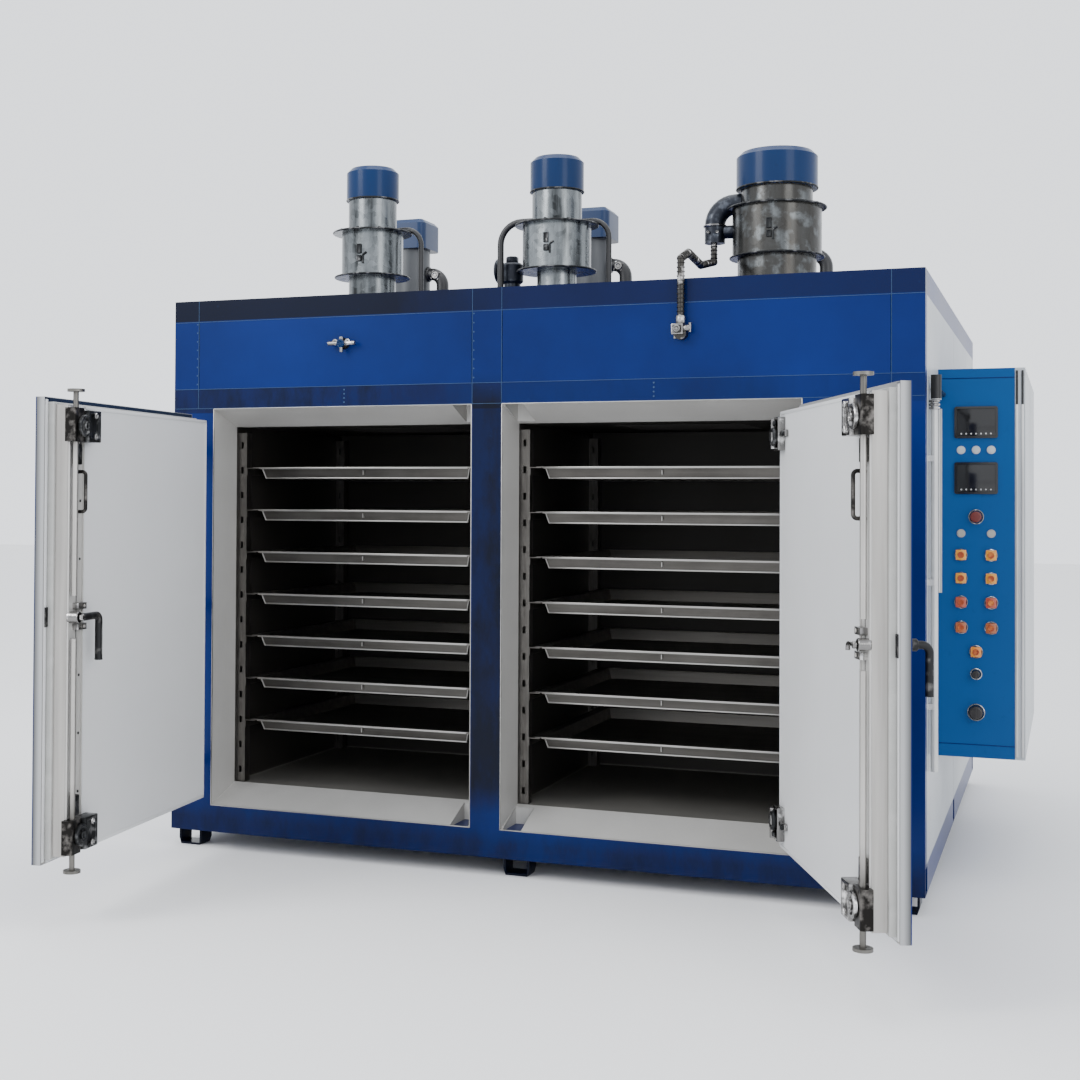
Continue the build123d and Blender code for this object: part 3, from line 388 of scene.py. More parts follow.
def chamber_steel():
    """The chambers' sheet: dark heat-stained walls over a paler floor."""
    finish = Finish("heat stained liner", metallic=0.45)
    stain = finish.noise(3.0, stretch=(1, 1, 0.4), detail=7.0)
    floor = 1.0 - finish.z.rise(0.234, 0.006)
    walls = finish.mix(stain, (0.014, 0.013, 0.012), (0.050, 0.045, 0.040))
    plate = finish.mix(stain, (0.13, 0.125, 0.115), (0.24, 0.23, 0.21))
    finish.feed(base_color=finish.mix(floor, walls, plate), roughness=0.40 + 0.2 * stain)
    return finish


def lamp_plastic(name, upper, middle, lower, split_high, split_low):
    """Coloured lenses: the colour follows the row that a lamp or button is in."""
    finish = Finish(name, coat_weight=0.6, coat_roughness=0.06)
    rows = finish.mix(finish.z.rise(split_low, 0.01), lower, middle)
    rows = finish.mix(finish.z.rise(split_high, 0.01), rows, upper)
    gleam = finish.noise(110.0, detail=3.0)
    finish.feed(base_color=finish.mix(gleam * 0.35, rows, (0.10, 0.03, 0.01)),
                roughness=0.22 + 0.15 * gleam)
    return finish


control_low_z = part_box("control_box")[0].z
finishes = {
    "cabinet_blue": cabinet_paint(),
    "panel_grey": paint("side panel grey", (0.44, 0.46, 0.475), (0.32, 0.335, 0.35), 0.34, 0.1),
    "door_white": paint("inner panel white", (0.62, 0.625, 0.63), (0.50, 0.505, 0.51), 0.30, 0.1),
    "liner_steel": brushed("throat steel", (0.56, 0.55, 0.53), (0.40, 0.39, 0.37), 0.34, 90.0,
                           (1, 6, 0.12), 0.30),
    "rack_steel": brushed("rack steel", (0.30, 0.285, 0.265), (0.03, 0.027, 0.024), 0.26, 120.0,
                          (1, 1, 0.1)),
    "tray_steel": tray_finish(),
    "hinge_steel": brushed("hinge steel", (0.50, 0.51, 0.52), (0.25, 0.25, 0.26), 0.32, 150.0,
                           (1, 1, 0.2)),
    "seal_rubber": moulded("seal rubber", (0.36, 0.36, 0.345), 0.55),
    "rod_steel": rod_steel(),
    "lever_black": cast("lever black", (0.012, 0.012, 0.013), (0.12, 0.115, 0.11), 0.42, 0.6),
    "galvanised": spangled("galvanised drum", (0.24, 0.26, 0.27), (0.022, 0.024, 0.025), 0.15),
    "cowl_blue": paint("cowl blue", (0.0, 0.019, 0.080), (0.0, 0.009, 0.038), 0.24, 0.10),
    "blower_grey": two_tone("rear blower", roof_high.z + 0.4545, 0.001, (0.10, 0.105, 0.11),
                            (0.0, 0.022, 0.085), 0.3, 0.0, 0.30),
    "hose_rubber": moulded("hose rubber", (0.009, 0.009, 0.010), 0.36, 620.0),
    "valve_black": cast("valve black", (0.007, 0.010, 0.018), (0.07, 0.08, 0.10), 0.34, 0.5),
    "rotor_steel": brushed("rotor steel", (0.40, 0.40, 0.40), (0.20, 0.20, 0.20), 0.35, 80.0,
                           (1, 1, 0.3)),
    "control_blue": paint("control cabinet blue", (0.0, 0.062, 0.215), (0.0, 0.048, 0.175), 0.34, 0.03),
    "display_black": moulded("display black", (0.006, 0.006, 0.007), 0.12),
    "lamp_amber": lamp_plastic("lamp lenses", (0.50, 0.54, 0.56), (0.36, 0.36, 0.33), (0.72, 0.30, 0.015),
                               control_low_z + 1.0, control_low_z + 0.77),
    "button_orange": lamp_plastic("button caps", (0.40, 0.050, 0.018), (0.36, 0.085, 0.014),
                                  (0.72, 0.24, 0.012), control_low_z + 0.51, control_low_z + 0.42),
    "emergency_red": moulded("emergency head", (0.11, 0.014, 0.010), 0.28),
    "knob_black": moulded("knob black", (0.014, 0.012, 0.012), 0.34),
    "pipe_steel": two_tone("pipe steel", 1.731, 0.001, (0.74, 0.74, 0.73), (0.012, 0.012, 0.013),
                           0.5, 0.0, 0.26),
    "fitting_steel": cast("fitting steel", (0.24, 0.235, 0.23), (0.70, 0.69, 0.68), 0.26, 1.0),
}
own_finishes = {
    "chamber_liners": chamber_steel(),
    "left_door_skin": skin_paint("left"),
    "right_door_skin": skin_paint("right"),
    "left_door_panel": inner_panel("left"),
    "right_door_panel": inner_panel("right"),
    "front_fittings": cast("conduit steel", (0.045, 0.043, 0.040), (0.40, 0.39, 0.38), 0.30, 1.0),
}
bead_steel = brushed("bright bead", (0.50, 0.49, 0.47), (0.20, 0.195, 0.18), 0.24, 60.0, (0.1, 1, 1))
seam_light = paint("seam sealant", (0.050, 0.095, 0.175), (0.012, 0.045, 0.120), 0.40, 0.0)
dark_edge = cast("dark rolled edge", (0.02, 0.021, 0.022), (0.18, 0.18, 0.18), 0.36, 0.8)
amber_core = cast("lens core", (0.30, 0.045, 0.006), (0.62, 0.20, 0.02), 0.30, 0.0)
chrome = cast("chrome clasp", (0.20, 0.195, 0.19), (0.78, 0.77, 0.76), 0.20, 1.0)


def dress_frame():
    """Gives each CAD node its finish, welded and smooth between its sharp edges."""
    for part in frame["record"]["subparts"]:
        node = nodes[part["node"]]
        finish = own_finishes.get(part["node"], finishes[part["material_slot"]])
        node.data.materials.clear()
        node.data.materials.append(finish.data)
        weld = node.modifiers.new("weld", "WELD")
        weld.merge_threshold = 0.00002
        split = node.modifiers.new("edges", "EDGE_SPLIT")
        split.split_angle = math.radians(32)
        node.data.polygons.foreach_set("use_smooth", [True] * len(node.data.polygons))


def start():
    """Object mode with nothing selected."""
    if bpy.context.mode != "OBJECT":
        bpy.ops.object.mode_set(mode="OBJECT")
    bpy.ops.object.select_all(action="DESELECT")


def pick(obj):
    """Selects this piece alone and makes it active."""
    start()
    obj.select_set(True)
    bpy.context.view_layer.objects.active = obj


def settled():
    """The piece just added, with its place, turn and size taken into its mesh."""
    bpy.ops.object.transform_apply(location=True, rotation=True, scale=True)
    return bpy.context.object


def select_faces(obj, wanted):
    """Edit mode with only the wanted faces selected."""
    bpy.ops.object.mode_set(mode="EDIT")
    bpy.ops.mesh.select_mode(type="FACE")
    bpy.ops.mesh.select_all(action="DESELECT")
    bpy.ops.object.mode_set(mode="OBJECT")
    for face in obj.data.polygons:
        face.select = wanted(face)
    bpy.ops.object.mode_set(mode="EDIT")


def apply_bevel(obj, width, segments=2):
    bevel = obj.modifiers.new("edge", "BEVEL")
    bevel.width = width
    bevel.segments = segments
    bevel.limit_method = "ANGLE"
    bpy.context.view_layer.objects.active = obj
    bpy.ops.object.modifier_apply(modifier=bevel.name)


def cube(low, high):
    """A cube stretched between two corners."""
    start()
    low, high = Vector(low), Vector(high)
    bpy.ops.mesh.primitive_cube_add(size=1, location=(low + high) / 2)
    bpy.context.object.scale = high - low
    return settled()


def block(low, high, edge):
    """A block between two corners with its edges eased."""
    obj = cube(low, high)
    apply_bevel(obj, edge)
    return obj


def pressed(low, high, facing, rim, depth, edge):
    """A block whose face on one side is inset and pushed in, as a pressed or folded sheet."""
    obj, facing = cube(low, high), Vector(facing)
    select_faces(obj, lambda face: face.normal.dot(facing) > 0.9)
    bpy.ops.mesh.inset(thickness=rim, depth=0)
    bpy.ops.mesh.extrude_region_move(TRANSFORM_OT_translate={"value": tuple(-depth * facing)})
    bpy.ops.object.mode_set(mode="OBJECT")
    apply_bevel(obj, edge)
    return obj


def head(place, facing, radius, height, sides=24, recess=0.45):
    """A bolt, screw or boss head that stands on its place and looks along facing."""
    start()
    facing = Vector(facing).normalized()
    turn = facing.to_track_quat("Z", "Y")
    bpy.ops.mesh.primitive_cylinder_add(vertices=sides, radius=radius, depth=height,
                                        location=Vector(place) + facing * height / 2,
                                        rotation=turn.to_euler())
    obj = settled()
    select_faces(obj, lambda face: face.normal.dot(facing) > 0.9)
    bpy.ops.mesh.inset(thickness=radius * recess, depth=0)
    bpy.ops.mesh.extrude_region_move(TRANSFORM_OT_translate={"value": tuple(-facing * height * 0.4)})
    bpy.ops.object.mode_set(mode="OBJECT")
    apply_bevel(obj, min(radius, height) * 0.18, 1)
    return obj


def ring(place, facing, radius, bar):
    """A round bar bent to a ring, for a bezel, a collar or a rolled edge."""
    start()
    turn = Vector(facing).normalized().to_track_quat("Z", "Y")
    bpy.ops.mesh.primitive_torus_add(major_radius=radius, minor_radius=bar, major_segments=40,
                                     minor_segments=10, location=place, rotation=turn.to_euler())
    return settled()


def joined(pieces):
    """Several solids as one piece."""
    start()
    for piece in pieces:
        piece.select_set(True)
    bpy.context.view_layer.objects.active = pieces[0]
    if len(pieces) > 1:
        bpy.ops.object.join()
    return bpy.context.view_layer.objects.active


def finished(obj, name, body, slot, look=None):
    """Names a piece, gives it its finish and lets it ride on its body."""
    obj.name = name
    obj.data.name = name
    obj.data.materials.clear()
    obj.data.materials.append((look or finishes[slot]).data)
    pick(obj)
    bpy.ops.object.shade_smooth_by_angle(angle=math.radians(35))
    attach(obj, body)
    return obj


def turned_out(obj):
    """Merges doubles and points every face outwards."""
    pick(obj)
    bpy.ops.object.mode_set(mode="EDIT")
    bpy.ops.mesh.select_all(action="SELECT")
    bpy.ops.mesh.remove_doubles(threshold=0.00001)
    bpy.ops.mesh.normals_make_consistent(inside=False)
    bpy.ops.object.mode_set(mode="OBJECT")
    return obj


def to_door(obj, side):
    """Takes a piece made in door coordinates to the open door."""
    obj.data.transform(door_place(side))
    return turned_out(obj) if side == "right" else obj


def on_door(pieces, side, name, slot, look=None, body="door"):
    """Joins pieces made in door coordinates, takes them to the open door and finishes them."""
    return finished(to_door(joined(pieces), side), f"{side}_{name}", f"{side}_{body}", slot, look)


def on_cabinet(pieces, name, slot, look=None):
    """Joins pieces that stay with the cabinet and finishes them."""
    return finished(joined(pieces), name, fixed_body, slot, look)


def bent_bar(first, heading, radius, moves, sides=16):
    """A round bar from straight runs and bends; a bend is (degrees, axis, radius of the bend)."""
    start()
    place, heading = Vector(first), Vector(heading).normalized()
    bpy.ops.mesh.primitive_circle_add(vertices=sides, radius=radius, location=place,
                                      rotation=heading.to_track_quat("Z", "Y").to_euler())
    obj = settled()
    bpy.ops.object.mode_set(mode="EDIT")
    bpy.ops.mesh.select_mode(type="VERT")
    bpy.ops.mesh.select_all(action="SELECT")
    for move in moves:
        if isinstance(move, tuple):
            angle, axis, bend = math.radians(move[0]), Vector(move[1]), move[2]
            centre = place + axis.cross(heading) * math.copysign(bend, angle)
            bpy.ops.mesh.spin(steps=8, angle=-angle, center=centre, axis=axis)
            turn = Matrix.Rotation(angle, 3, axis)
            place, heading = centre + turn @ (place - centre), turn @ heading
        else:
            bpy.ops.mesh.extrude_region_move(TRANSFORM_OT_translate={"value": tuple(heading * move)})
            place = place + heading * move
    bpy.ops.mesh.select_all(action="SELECT")
    bpy.ops.mesh.fill_holes(sides=0)
    bpy.ops.object.mode_set(mode="OBJECT")
    return turned_out(obj)


def stick(first, last, radius, sides=8):
    """A straight thin bar between two points."""
    first, last = Vector(first), Vector(last)
    return bent_bar(first, last - first, radius, [(last - first).length], sides)


def lock_strip(side):
    """Stainless strip down the free edge of the inner panel, with raised lips and a black painted shadow line for
    the gap beside the rod.
    """
    z0, z1 = plug_z[0] + 0.006, plug_z[1] - 0.006
    y = door_thick
    plate = block((strip_x[0], y, z0), (strip_x[1], y + 0.0004, z1), 0.0001)
    lips = [block((x, y, z0), (x + 0.004, y + 0.006, z1), 0.001)
            for x in (strip_x[0], strip_x[1] - 0.004)]
    on_door([plate] + lips, side, "lock_strip", "liner_steel")
    # A raised black strip painted as the shadow in the gap beside the rod.
    shadow_line = block((strip_x[0] + 0.036, y + 0.0003, z0), (strip_x[0] + 0.040, y + 0.0012, z1), 0.0003)
    on_door([shadow_line], side, "strip_shadow_line", "lever_black")
    ledge = block((plug_x[1] + 0.012, flange_depth, 0.205), (1.090, flange_depth + 0.003, 1.699), 0.001)
    on_door([ledge], side, "edge_strip", "door_white")


def panel_border(side):
    """Thin folded border round the white panel, and its screws."""
    y = door_thick
    x0, x1 = plug_x[0] + 0.001, strip_x[0] - 0.002
    z0, z1 = plug_z[0] + 0.001, plug_z[1] - 0.001
    wide, proud = 0.010, 0.0018
    bars = [block((x0, y, z0), (x0 + wide, y + proud, z1), 0.0006),
            block((x1 - wide, y, z0), (x1, y + proud, z1), 0.0006),
            block((x0, y, z0), (x1, y + proud, z0 + wide), 0.0006),
            block((x0, y, z1 - wide), (x1, y + proud, z1), 0.0006)]
    on_door(bars, side, "panel_border", "door_white")
    levels = [0.42 + 0.19 * i for i in range(7)]
    screws = [head((strip_x[0] + 0.018, y, z), to_back, 0.0045, 0.0025) for z in levels]
    on_door(screws, side, "strip_screws", "lever_black")


def latch_castings(side):
    """Cast blocks beside the rod guides at both ends, with bosses, lugs and three bolts each."""
    y = door_thick
    solids, bolts = [], []
    for end, z in ((1, 1.614), (-1, 0.290)):
        x0, x1 = rod_x - 0.118, rod_x - 0.037
        solids.append(pressed((x0, y, z - 0.052), (x1, y + 0.048, z + 0.052), to_back,
                              0.014, 0.010, 0.004))
        solids.append(head((rod_x - 0.020, y + 0.0365, z), to_back, 0.036, 0.012, 32, 0.30))
        solids.append(head((rod_x - 0.020, y + 0.043, z), to_back, 0.014, 0.010, 24, 0.30))
        solids.append(block((x0 - 0.024, y, z - 0.020), (x0 + 0.01, y + 0.030, z + 0.020), 0.005))
        solids.append(block((rod_x - 0.046, y, z - end * 0.092 - 0.034),
                            (rod_x - 0.012, y + 0.020, z - end * 0.092 + 0.034), 0.004))
        bolts += [head((x0 + 0.040, y + 0.046, z + k * 0.034), to_back, 0.011, 0.008, 6)
                  for k in (-1, 1)]
        bolts.append(head((x0 - 0.012, y + 0.030, z), to_back, 0.008, 0.006, 6))
    look = dark_edge if side == "left" else chrome
    on_door(solids, side, "latch_castings", "lever_black", look)
    on_door(bolts, side, "latch_bolts", "fitting_steel")


def pivot_block(side):
    """Bright bearing cheeks above and below the lever's hub, with their bolts."""
    y = door_thick
    cheeks, bolts = [], []
    for end in (-1, 1):
        z = lever_z + end * 0.0335
        cheeks.append(pressed((rod_x - 0.078, y, z - 0.0105), (rod_x - 0.024, y + 0.022, z + 0.0105),
                              to_back, 0.003, 0.002, 0.0015))
        bolts.append(head((rod_x - 0.060, y + 0.021, z), to_back, 0.006, 0.004, 6))
    on_door(cheeks, side, "pivot_cheeks", "fitting_steel")
    on_door(bolts, side, "pivot_bolts", "rod_steel")


def left_release():
    """The left door's release: steel hub and nut, bent black arm and grip, flush cap outside."""
    y, centre = door_thick, Vector((rod_x, 0, lever_z))
    reach, drop, bar = 0.118, 0.142, 0.0125
    arm = bent_bar((rod_x, y + 0.044, lever_z), (-1, 0, 0), bar,
                   [reach - 0.018, (-90, (0, 1, 0), 0.018), drop - 0.018])
    grip = [arm, head((rod_x - reach, y + 0.044, lever_z - drop), (0, 0, -1), bar + 0.001, 0.006, 16)]
    piece = on_door(grip, "left", "release_arm", "lever_black", body="release")
    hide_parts("left_lever")
    line = block((rod_x - reach - 0.0015, y + 0.0555, lever_z - drop + 0.012),
                 (rod_x - reach + 0.0015, y + 0.0575, lever_z - 0.030), 0.0004)
    on_door([line], "left", "release_line", "fitting_steel", body="release")
    hub = [head(centre + Vector((0, y + 0.0005, 0)), to_back, 0.0195, 0.040, 32, 0.25),
           head(centre + Vector((0, y + 0.040, 0)), to_back, 0.012, 0.016, 6),
           head(centre + Vector((0, y - 0.001, 0)), to_front, 0.0095, y, 24),
           head(centre + Vector((0, -0.0010, 0)), to_front, 0.022, 0.006, 32, 0.3)]
    on_door(hub, "left", "release_hub", "rod_steel", chrome, "release")


def right_release():
    """The right door's release: small bright hub inside, bent black handle outside."""
    y = door_thick
    handle = [head((rod_x, -0.0010, lever_z), to_front, 0.024, 0.008, 32, 0.3),
              head((rod_x, -0.006, lever_z), to_front, 0.0175, 0.022, 32, 0.3),
              bent_bar((rod_x, -0.010, lever_z), to_front, 0.0115, [0.030, (90, (1, 0, 0), 0.022), 0.118])]
    piece = on_door(handle, "right", "release_handle", "lever_black", body="release")
    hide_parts("right_lever")
    hub = [head((rod_x, y + 0.0005, lever_z), to_back, 0.0185, 0.036, 32, 0.25),
           head((rod_x, y + 0.036, lever_z), to_back, 0.011, 0.014, 6),
           head((rod_x, y - 0.001, lever_z), to_front, 0.0095, y, 24),
           bent_bar((rod_x, y + 0.0435, lever_z), (-1, 0, 0), 0.0065,
                    [0.052, (-90, (0, 1, 0), 0.012), 0.008])]
    on_door(hub, "right", "release_hub", "rod_steel", chrome, "release")


def hinge_corner_brackets():
    """Upper and lower brackets at the right door's hinge side, and a keeper plate by its rods."""
    y = door_thick
    solids, bolts, dark = [], [], []
    for end, z in ((1, 1.606), (-1, 0.306)):
        solids.append(pressed((0.030, y, z - 0.056), (0.090, y + 0.026, z + 0.056), to_back,
                              0.010, 0.006, 0.004))
        solids.append(block((0.088, y, z - 0.012), (0.134, y + 0.014, z + 0.012), 0.004))
        solids.append(bent_bar((0.046, y + 0.030, z - 0.050), upward, 0.010, [0.100]))
        dark.append(ring((0.060, y + 0.034, z - end * 0.010), to_back, 0.024, 0.008))
        bolts += [head((0.062, y + 0.026, z + k * 0.034), to_back, 0.010, 0.010, 6) for k in (-1, 1)]
        bolts.append(head((0.122, y + 0.014, z), to_back, 0.010, 0.008, 24))
    on_door(solids, "right", "corner_brackets", "fitting_steel", chrome)
    on_door(bolts, "right", "corner_bolts", "rod_steel", dark_edge)
    on_door(dark, "right", "corner_rings", "lever_black", dark_edge)
    plate = [pressed((rod_x - 0.060, y, 1.060), (rod_x - 0.036, y + 0.004, 1.275), to_back,
                     0.004, 0.0015, 0.0015),
             head((rod_x - 0.048, y + 0.003, 1.262), to_back, 0.007, 0.004, 24)]
    on_door(plate, "right", "keeper_plate", "liner_steel")


def striker(side):
    """Striker plate with its middle pressed in, on the free edge's ledge."""
    x0, x1, y = 1.068, 1.090, flange_depth + 0.003
    plate = pressed((x0, y, lever_z - 0.032), (x1, y + 0.004, lever_z + 0.032), to_back,
                    0.006, 0.003, 0.001)
    on_door([plate], side, "striker", "lever_black")


def seam_beads():
    """Light sealant beads and rivet rows along the front's seams."""
    x0, x1 = front_low.x, front_high.x
    y, half = face_y, 0.0007
    beads = []
    for z in (fascia_z, lintel_z, opening_z1):
        beads.append(block((x0, y - 0.001, z - half), (x1, y + 0.001, z + half), 0.0004))
    for x in (x0 + seam_inset, *post_x, x1 - seam_inset):
        beads.append(block((x - half, y - 0.001, opening_z1), (x + half, y + 0.001, roof_high.z), 0.0004))
    on_cabinet(beads, "seam_beads", "cabinet_blue", seam_light)
    rivets = []
    for x in (x0 + seam_inset - 0.006, post_x[0] + 0.006):
        rivets += [head((x, y, lintel_z + 0.02 + 0.034 * i), to_front, 0.0028, 0.0012, 10)
                   for i in range(8)]
    for x in lintel_rivets_x:
        rivets += [head((x, y, lintel_z - 0.062 + 0.016 * i), to_front, 0.0032, 0.0015, 10)
                   for i in range(4)]
    on_cabinet(rivets, "seam_rivets", "fitting_steel", seam_light)


def throat_edges():
    """Bright folded edge round each opening where the throat meets the front."""
    bars = []
    for x0 in opening_left:
        x1 = x0 + opening_width
        y0, y1 = face_y - 0.001, face_y + 0.004
        bars.append(block((x0, y0, opening_z0), (x0 + 0.004, y1, opening_z1), 0.001))
        bars.append(block((x1 - 0.004, y0, opening_z0), (x1, y1, opening_z1), 0.001))
        for z in (opening_z0, opening_z1 - 0.004):
            bars.append(block((x0, y0, z), (x1, y1, z + 0.004), 0.001))
    on_cabinet(bars, "throat_edges", "liner_steel", bead_steel)


def keeper_pockets():
    """Steel pockets behind the throat's slots, where the lock rods' heads travel."""
    pockets = []
    y0, y1 = face_y + 0.0035, face_y + 0.1515
    slope = 0.065 / 0.168
    for x0, x1 in ((-0.2537, -0.1823), (-0.0457, 0.0257)):
        for side, edge in ((1, opening_z1), (-1, opening_z0)):
            low, high = sorted((edge - side * 0.080, edge + side * 0.050))
            pocket = pressed((x0, y0, low), (x1, y1, high), (0, 0, -side), 0.0015, 0.1285, 0.0003)
            pick(pocket)
            bpy.ops.object.mode_set(mode="EDIT")
            bpy.ops.mesh.select_all(action="SELECT")
            bpy.ops.mesh.bisect(plane_co=(0, face_y + 0.002, edge), plane_no=(0, slope, side),
                                clear_inner=True, use_fill=False)
            bpy.ops.object.mode_set(mode="OBJECT")
            pockets.append(pocket)
    on_cabinet(pockets, "keeper_pockets", "liner_steel")


def tray_beads():
    """Rolled rim, corner folds and bottom fold on the front of every tray."""
    for side, x in tray_x.items():
        for i in range(tray_count):
            rim = tray_rim + tray_pitch * i
            low = rim - tray_depth
            bars = [block((x - 0.456, -1.1257, rim - 0.007), (x + 0.456, -1.1225, rim + 0.0005), 0.0012),
                    block((x - 0.441, -1.0880, low - 0.0004), (x + 0.441, -1.0835, low + 0.0050), 0.0012)]
            for k in (-1, 1):
                bars.append(stick((x + k * 0.453, -1.0985, rim - 0.003),
                                  (x + k * 0.4415, -1.0865, low + 0.001), 0.0028))
            bars.append(block((x - 0.002, -1.1010, rim - 0.030), (x + 0.002, -1.0890, rim - 0.012), 0.0006))
            piece = joined(bars)
            finished(piece, f"{side}_tray_bead_{i + 1}", f"{side}_drawer_{i + 1}", "tray_steel", bead_steel)


def roof_hoses():
    """Blower elbows with their bolt faces, and the front motors' cables."""
    top = roof_high.z
    elbows, bolts = [], []
    level = top + blower_outlet
    for x in blower_x:
        elbows.append(bent_bar((x + 0.086, blower_y, level), (1, 0, 0), 0.030,
                               [0.022, (90, (0, 1, 0), 0.060), 0.275]))
        elbows.append(ring((x + 0.096, blower_y, level), (1, 0, 0), 0.032, 0.006))
        elbows.append(head((x + 0.168, blower_y, top), upward, 0.045, 0.010, 32))
        bolts.append(head((x + 0.140, blower_y - 0.027, top + 0.325), to_front, 0.018, 0.010, 24))
        bolts += [head((x + 0.140 + 0.024 * math.cos(t), blower_y - 0.026, top + 0.325 + 0.024 * math.sin(t)),
                       to_front, 0.005, 0.008, 6) for t in (0.5, 2.1, 3.7, 5.3)]
    piece = on_cabinet(elbows, "blower_elbows", "hose_rubber")
    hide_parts("roof_hoses")
    on_cabinet(bolts, "elbow_bolts", "fitting_steel", chrome)
    fan_y = joints["middle_fan_spin"]["pos_m"][1]
    cables = [bent_bar((middle_fan_x - 0.096, fan_y - 0.020, top + 0.352), (-1, 0, 0), 0.013,
                       [0.050, (-90, (0, 1, 0), 0.090), 0.262]),
              bent_bar((left_fan_x + 0.098, fan_y + 0.040, top + 0.360), (1, 0, 0), 0.011,
                       [0.040, (90, (0, 1, 0), 0.070), 0.290]),
              bent_bar((middle_fan_x + 0.098, fan_y + 0.040, top + 0.350), (1, 0, 0), 0.011,
                       [0.040, (90, (0, 1, 0), 0.070), 0.280])]
    on_cabinet(cables, "motor_cables", "hose_rubber")


def roof_valve():
    """Valve with its handwheel beside the middle unit, and the right drum's arched hose."""
    top = roof_high.z
    x, y = -0.262, -0.640
    parts = [head((x, y, top), upward, 0.050, 0.012, 32),
             head((x, y, top + 0.010), upward, 0.034, 0.12, 32),
             head((x, y, top + 0.110), upward, 0.046, 0.085, 32),
             head((x, y, top + 0.193), upward, 0.028, 0.030, 6)]
    wheel = Vector((x - 0.058, y, top + 0.165))
    parts += [ring(wheel, (1, 0, 0), 0.044, 0.008), stick(wheel, (x, y, wheel.z), 0.009, 12)]
    parts += [stick(wheel + Vector((0, 0.042 * math.cos(t), 0.042 * math.sin(t))),
                    wheel - Vector((0, 0.042 * math.cos(t), 0.042 * math.sin(t))), 0.005)
              for t in (0.4, 1.45, 2.5)]
    fan_y = joints["right_fan_spin"]["pos_m"][1]
    parts.append(bent_bar((right_fan_x - 0.132, fan_y, top + 0.372), (-1, 0, 0), 0.040,
                          [0.030, (-90, (0, 1, 0), 0.080), 0.070]))
    parts.append(bent_bar((0.600, fan_y, top + 0.225), upward, 0.033, [0.030]))
    parts.append(stick((0.640, fan_y, top + 0.265), (0.690, fan_y, top + 0.265), 0.026, 20))
    piece = on_cabinet(parts, "roof_valve_and_elbow", "valve_black")
    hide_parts("roof_fittings")
    collars = [ring((0.601, fan_y, top + 0.290), upward, 0.041, 0.005),
               ring((0.600, fan_y, top + 0.228), upward, 0.034, 0.005)]
    collars += [head((0.601 + k * 0.018, fan_y - 0.040, top + 0.262), to_front, 0.007, 0.006, 6)
                for k in (-1, 1)]
    on_cabinet(collars, "elbow_collars", "fitting_steel", chrome)


def conduit_hose():
    """Ribbed hose over the conduit's run from the roof to the front, with the valve at its end."""
    x, y, z = 0.622, -1.347, 1.990
    path = [Vector(p) for p in ((0.5975, -0.695, 2.390), (0.5975, -0.695, 2.315), (0.5975, -0.925, 2.270),
                                (x, -1.080, 2.258), (x, -1.235, 2.270), (x, y, 2.233), (x, y, 2.030))]
    hose = []
    for first, last in zip(path, path[1:]):
        run = last - first
        hose.append(stick(first, last, 0.0125, 16))
        steps = max(2, round(run.length / 0.016))
        hose += [ring(first + run * i / steps, run, 0.0122, 0.0026) for i in range(steps + 1)]
    on_cabinet(hose, "conduit_hose", "fitting_steel", own_finishes["front_fittings"])
    valve = [head((x, y, z + 0.042), (0, 0, -1), 0.019, 0.030, 6),
             pressed((x - 0.030, y - 0.020, z - 0.026), (x + 0.012, y + 0.012, z + 0.012), to_front,
                     0.006, 0.004, 0.004),
             head((x - 0.010, y - 0.016, z - 0.006), to_front, 0.013, 0.012, 24),
             head((x + 0.010, y - 0.004, z - 0.004), (1, 0, 0), 0.013, 0.026, 6),
             stick((x + 0.034, y - 0.004, z - 0.018), (x + 0.034, y - 0.004, z + 0.014), 0.005, 12),
             stick((x - 0.018, y - 0.004, z - 0.026), (x - 0.018, y - 0.004, z - 0.040), 0.007, 12)]
    on_cabinet(valve, "conduit_valve", "fitting_steel")


def wing_details():
    """Ears, knob and tail on the wing fitting of the left upper panel."""
    low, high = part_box("wing_handle")
    x, z = (low.x + high.x) / 2, (low.z + high.z) / 2
    ears = [ring((x + k * 0.026, low.y + 0.006, z + 0.004), to_front, 0.0085, 0.0042) for k in (-1, 1)]
    ears.append(stick((x, low.y + 0.006, z - 0.012), (x, low.y + 0.006, z - 0.034), 0.0065, 12))
    ears.append(head((x, low.y + 0.006, z + 0.012), upward, 0.010, 0.012, 6))
    finished(joined(ears), "wing_ears", "wing", "fitting_steel")
    knob = head((x, low.y + 0.004, z - 0.002), to_front, 0.0155, 0.012, 24, 0.4)
    finished(knob, "wing_knob", "wing", "cowl_blue")


def drum_edges():
    """Dark rolled edges of the drums' flanges and cowl skirts, and their bolts."""
    top = roof_high.z
    edges, bolts = [], []
    for name, _, flange, upper, lower, cowl, skirt in drums:
        x, y, _ = joints[name]["pos_m"]
        edges.append(ring((x, y, top + upper - 0.004), upward, flange - 0.001, 0.0042))
        edges.append(ring((x, y, top + lower + 0.004), upward, flange - 0.009, 0.0042))
        edges.append(ring((x, y, top + skirt + 0.003), upward, cowl - 0.001, 0.0036))
        for k in range(10):
            turn = math.radians(36 * k + 18)
            spot = Vector((math.cos(turn), math.sin(turn), 0))
            bolts.append(head(Vector((x, y, top + upper)) + (flange - 0.018) * spot, upward,
                              0.007, 0.006, 6))
    on_cabinet(edges, "drum_edges", "galvanised", dark_edge)
    on_cabinet(bolts, "flange_bolts", "rod_steel", dark_edge)


